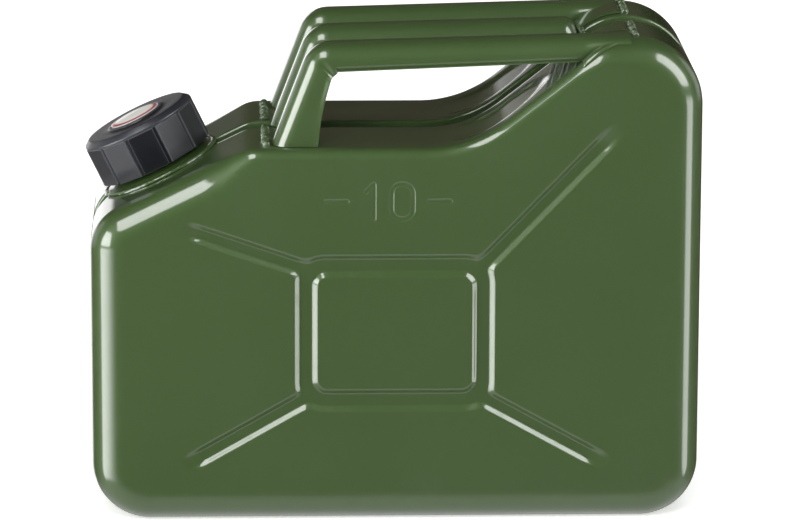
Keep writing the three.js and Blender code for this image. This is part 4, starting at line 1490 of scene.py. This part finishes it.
def cap_rows(angles):
    """Rows of (radius, height, strength of the painted fold highlight) from the inner wall to the
    middle.
    """
    grips = grip_radius(angles)
    even = np.ones_like(angles)
    # Painted highlight strength: a thin line along both edges of each grip groove.
    fold = smooth(flat_end - 0.012, flat_end + 0.002, np.abs(angles)) * (
        1 - smooth(flat_end + 0.002, flat_end + 0.014, np.abs(angles))
    )
    rows = [(even * 0.01, roof_under, 0)]
    rows += [(even * r, roof_under, 0) for r in (CAP_INNER * 0.5, CAP_INNER - 0.8)]
    rows += [(even * CAP_INNER, roof_under - 0.8, 0), (even * CAP_INNER, CAP_LIFT + 0.5, 0)]
    rows += [(even * (CAP_INNER + 0.5), CAP_LIFT, 0.1), (grips - 0.7, CAP_LIFT, 0.1)]
    rows += [(grips - 0.2, CAP_LIFT + 0.15, 0.3), (grips, CAP_LIFT + 0.7, fold)]
    rows += [(grips, mix(CAP_LIFT + 0.7, GRIP_TOP - 0.4, t), fold) for t in (0.33, 0.66, 1)]
    rows += [(grips, GRIP_TOP, 0.8 * even)]
    rim = CAP_RADIUS - RIM_SET_BACK
    rows += [(even * (rim - 0.25), GRIP_TOP + 0.05, 0.8), (even * rim, GRIP_TOP + 0.45, 0.5)]
    rows += [(even * rim, rim_low + 0.1, 0.2)]
    slope = math.atan2(BEVEL_ACROSS, BEVEL_UP + 0.4)
    for t in np.linspace(0, 1, 5)[1:]:
        bend = 1.1 * (1 - math.cos(slope * t))
        rows.append((even * (rim - bend), rim_low + 0.1 + 1.1 * math.sin(slope * t), 0.2))
    flat_start = rim - BEVEL_ACROSS
    for t in np.linspace(0, 1, 5):
        angle = mix(slope, math.pi / 2, t)
        reach = 1.6
        rows.append(
            (
                even * (flat_start - reach * 0.35 + reach * (math.cos(angle))),
                CAP_TOP - reach * (1 - math.sin(angle)),
                0.1,
            )
        )
    rows += [(even * r, CAP_TOP, 0) for r in (26, 22, boss_radius + 1.7)]
    rows += [(even * (boss_radius + 0.9), CAP_TOP + 0.15, 0)]
    rows += [(even * (boss_radius + 0.3), CAP_TOP + BOSS_UP - 0.15, 0.3)]
    rows += [(even * boss_radius, CAP_TOP + BOSS_UP, 0.4)]
    rows += [(even * (LABEL_RADIUS + GAP), CAP_TOP + BOSS_UP, 0.2)]
    rows += [(even * (LABEL_RADIUS + GAP), label_seat, 0), (even * 0.01, label_seat, 0)]
    return rows


turned_angles = wedge_angles + GRIP_TURN
# The third value of each row, the painted highlight strength, goes to the cap's edge attribute.
wedge_points, wedge_fold_highlights = [], []
for radius, height, fold in cap_rows(wedge_angles):
    wedge_points.append(
        np.column_stack(
            [
                radius * np.cos(turned_angles),
                radius * np.sin(turned_angles),
                np.full(len(wedge_angles), height),
            ]
        )
    )
    wedge_fold_highlights.append(np.broadcast_to(fold, len(wedge_angles)))
wedge_faces = grid_faces(len(wedge_points), len(wedge_angles))
wedge = make_piece(
    "cap_wedge", np.vstack(wedge_points), wedge_faces, CAP_PLASTIC, edge=np.hstack(wedge_fold_highlights)
)


cap = run_tree(wedge, REPEAT_TREE, CAP_PLASTIC, Count=GRIP_COUNT)
cap.name = "cap_shell_moulded"
cap_ridge_radius = CAP_INNER - THREAD_BURY
inner_thread = thread_ridge(cap_ridge_radius, THREAD_START - THREAD_PITCH / 2, CAP_PLASTIC)
cap = join(cap, inner_thread)
declare(on_neck(cap), "cap", "cap_plastic", "cap_shell")

# %% [markdown]
# ## Label, gasket and sealing disc
#
# The label is a plain domed film with a coloured ring round it. Under the roof, a pressed
# steel disc holds a rubber gasket against the neck's lip. All three are turned shapes.

# %% Label, gasket and disc
label_foot = label_seat + GAP
dome_steps = np.linspace(1, 0, 14)
dome = [
    (LABEL_RADIUS * s, label_foot + LABEL_SHEET + LABEL_DOME * (1 - s**2) * 0.98)
    for s in dome_steps
]
label_profile = [(0, label_foot), (LABEL_RADIUS - 0.2, label_foot), *dome[:-1], (0, dome[-1][1])]
ring_share = [0, 0] + [1.0 if 0.8 < s < 0.95 else 0.0 for s in dome_steps]
segments = 144
label = turned(
    "cap_label_film", label_profile, LABEL, segments, sharp=50, ring=np.tile(ring_share, segments)
)
declare(on_neck(label), "cap", "label_print", "cap_label")

gasket_foot, gasket_sheet = NECK_HEIGHT + GAP, 2
gasket_in, gasket_out = BORE - 1, NECK_RADIUS + 1.2
soft_edge = 0.5
gasket_profile = [
    *arc((gasket_in + soft_edge, gasket_foot + soft_edge), soft_edge, 180, 270, 5),
    *arc((gasket_out - soft_edge, gasket_foot + soft_edge), soft_edge, 270, 360, 5),
    *arc((gasket_out - soft_edge, gasket_foot + gasket_sheet - soft_edge), soft_edge, 0, 90, 5),
    *arc((gasket_in + soft_edge, gasket_foot + gasket_sheet - soft_edge), soft_edge, 90, 180, 5),
]
gasket = turned("cap_gasket_cut", gasket_profile, RUBBER)
declare(on_neck(gasket), "cap_seal", "gasket_rubber", "cap_gasket")

disc_foot, disc_sheet, disc_dish, disc_rim = gasket_foot + gasket_sheet + GAP, 1.3, 1.5, 8
disc_radius = CAP_INNER - GAP
dish_radius = disc_radius - disc_rim
bend = smooth(0, 1, np.linspace(0, 1, 7))
dished = [(dish_radius - disc_dish * (1 - t), disc_foot - disc_dish * (1 - s))
          for t, s in zip(np.linspace(0, 1, 7), bend)]
disc_profile = [(0, disc_foot - disc_dish), *dished]
disc_profile += arc((disc_radius - 0.4, disc_foot + 0.4), 0.4, 270, 360, 4)
disc_profile += arc((disc_radius - 0.4, disc_foot + disc_sheet - 0.4), 0.4, 0, 90, 4)
disc_profile += [(r, h + disc_sheet) for r, h in reversed(dished)]
disc_profile += [(0, disc_foot + disc_sheet - disc_dish)]
seal_disc = turned("cap_seal_disc_pressed", disc_profile, STEEL)
declare(on_neck(seal_disc), "cap_seal", "bare_steel", "cap_seal_disc")

# %% [markdown]
# ## Floor and light
#
# The floor is a plain pale sheet. Four softboxes light the can: a narrow one on each side, a
# wide one in front and above, and a wide one high behind. The enamel doesn't mirror them,
# because the next cell gives it a room of its own to mirror.

# %% Floor
FLOOR_SIZE, FLOOR_GLOW_STRENGTH = 14, 0.5
PAPER_GREY, PAPER_PALE = (0.86, 0.86, 0.85, 1), (0.88, 0.88, 0.87, 1)
floor_mesh = bpy.data.meshes.new("floor")
edge = FLOOR_SIZE / 2
floor_mesh.from_pydata(
    [(-edge, -edge, 0), (edge, -edge, 0), (edge, edge, 0), (-edge, edge, 0)], [], [(0, 1, 2, 3)]
)
floor = bpy.data.objects.new("floor", floor_mesh)
bpy.context.scene.collection.objects.link(floor)
FLOOR = Finish(
    "floor_paper", Roughness=0.9, Specular_IOR_Level=0.1, Emission_Color=(1, 1, 1, 1),
    Emission_Strength=FLOOR_GLOW_STRENGTH,
)
paper = FLOOR.mix(FLOOR.noise(3), PAPER_GREY, PAPER_PALE)
floor.data.materials.append(FLOOR.set(Base_Color=paper))
floor.visible_glossy = False


# %% Lights
SOFTBOXES = {
    "left_softbox": ((-1.5, -0.9, 0.55), (0, 0, 0.15), (0.35, 1.0), 16),
    "right_softbox": ((1.7, -0.5, 0.5), (0, 0, 0.15), (0.25, 1.0), 10),
    "front_softbox": ((-0.2, -2.2, 1.7), (0, 0, 0.1), (1.8, 1.2), 50),
    "back_softbox": ((0.2, 2.4, 2.4), (0, 0.6, 0), (2.2, 1.2), 22),
}


def softbox(name, place, target, width, height, power):
    """A rectangular light that faces a point, in metres and watts."""
    data = bpy.data.lights.new(name, "AREA")
    data.shape, data.size, data.size_y, data.energy = "RECTANGLE", width, height, power
    light = bpy.data.objects.new(name, data)
    bpy.context.scene.collection.objects.link(light)
    aim = Vector(target) - Vector(place)
    light.matrix_world = (
        Matrix.Translation(place) @ aim.to_track_quat("-Z", "Y").to_matrix().to_4x4()
    )
    return light


for name, (place, target, size, power) in SOFTBOXES.items():
    light = softbox(name, place, target, *size, power)
    light.visible_glossy = light.visible_camera = False

# %% [markdown]
# ## The room that the gloss reflects
#
# A gloss finish is only as good as what it reflects, so the world has two faces. Most rays
# see an even white. Mirrored rays see a dark room over a pale floor, with a tall card low on
# each side, a softbox high on each side, and a white backdrop low behind. Each is a smooth
# patch of directions, given by the parts of a unit vector: side, depth and height.

# %% Room
ROOM_LIGHT, ROOM_DARK, FLOOR_GLOW, FRONT_GLOW, BACK_DIM = 0.35, 0.02, 0.8, 0.07, 0.07
LEFT_CARD, LEFT_TALL, RIGHT_CARD, HIGH_LEFT, HIGH_RIGHT = 9, 12, 6, 10, 9
BACKDROP, BEHIND = 1.6, 0.8
BROWN, WHITE = (0.62, 0.48, 0.38, 1), (1, 1, 1, 1)
world = bpy.data.worlds.new("studio")
world.use_nodes = True
bpy.context.scene.world = world
room = Graph(world.node_tree, "Background", "Generated")
side, depth, height = (
    room.node("ShaderNodeSeparateXYZ", {}, (room.place,), output=k) for k in range(3)
)


def patch(axis, low, high, soft):
    """1 where a direction's component lies between two values."""
    rises = room.between(axis, low - soft, low + soft)
    return rises * room.between(axis, high - soft, high + soft, 1.0, 0.0)


glow = room.between(height, -0.8, -0.28, FLOOR_GLOW, FRONT_GLOW)
glow = glow * room.between(height, -0.16, -0.02, 1.0, 0.0) + ROOM_DARK
glow = glow + room.between(depth, 0.3, 0.9) * patch(height, 0.1, 0.6, 0.05) * BACK_DIM
front = room.between(depth, -0.14, -0.02, 1.0, 0.0)
left_card = room.between(side * -1, 0.3, 0.98)
left_card = left_card * left_card * patch(height, -0.5, -0.04, 0.06) * LEFT_CARD
left_tall = room.between(side * -1, 0.72, 0.8) * patch(height, 0.04, 0.5, 0.04) * LEFT_TALL
right_card = room.between(side, 0.83, 0.89) * patch(height, -0.5, 0.0, 0.08) * RIGHT_CARD
high_left = patch(side, -0.58, -0.3, 0.03) * patch(height, 0.6, 0.92, 0.03) * HIGH_LEFT
high_right = patch(side, 0.46, 0.97, 0.04) * patch(height, 0.2, 0.86, 0.04) * HIGH_RIGHT
high_right = high_right * room.between(depth, -0.62, -0.5)
cards = (left_card + left_tall + right_card + high_left + high_right) * front
backdrop = room.between(depth, 0.75, 0.85) * patch(height, -0.4, 0.09, 0.03)
backdrop = backdrop * room.between(side, -0.14, -0.06, BACKDROP, 0.0)
behind = room.between(depth, 0.25, 0.45) * patch(height, -0.1, 0.5, 0.1)
behind = behind * room.between(side * side, 0.3, 0.5) * BEHIND
glow = glow + cards + backdrop + behind
mirrored = room.node("ShaderNodeLightPath", output="Is Glossy Ray")
seen = room.node("ShaderNodeLightPath", output="Is Camera Ray")
tint = room.mix(room.between(glow, 0.05, 0.6), BROWN, WHITE)
room.link(
    Color=room.mix(mirrored, WHITE, tint),
    Strength=mirrored * (glow - ROOM_LIGHT) + seen * (1 - ROOM_LIGHT) + ROOM_LIGHT,
)
bpy.context.scene.view_settings.view_transform = "Standard"
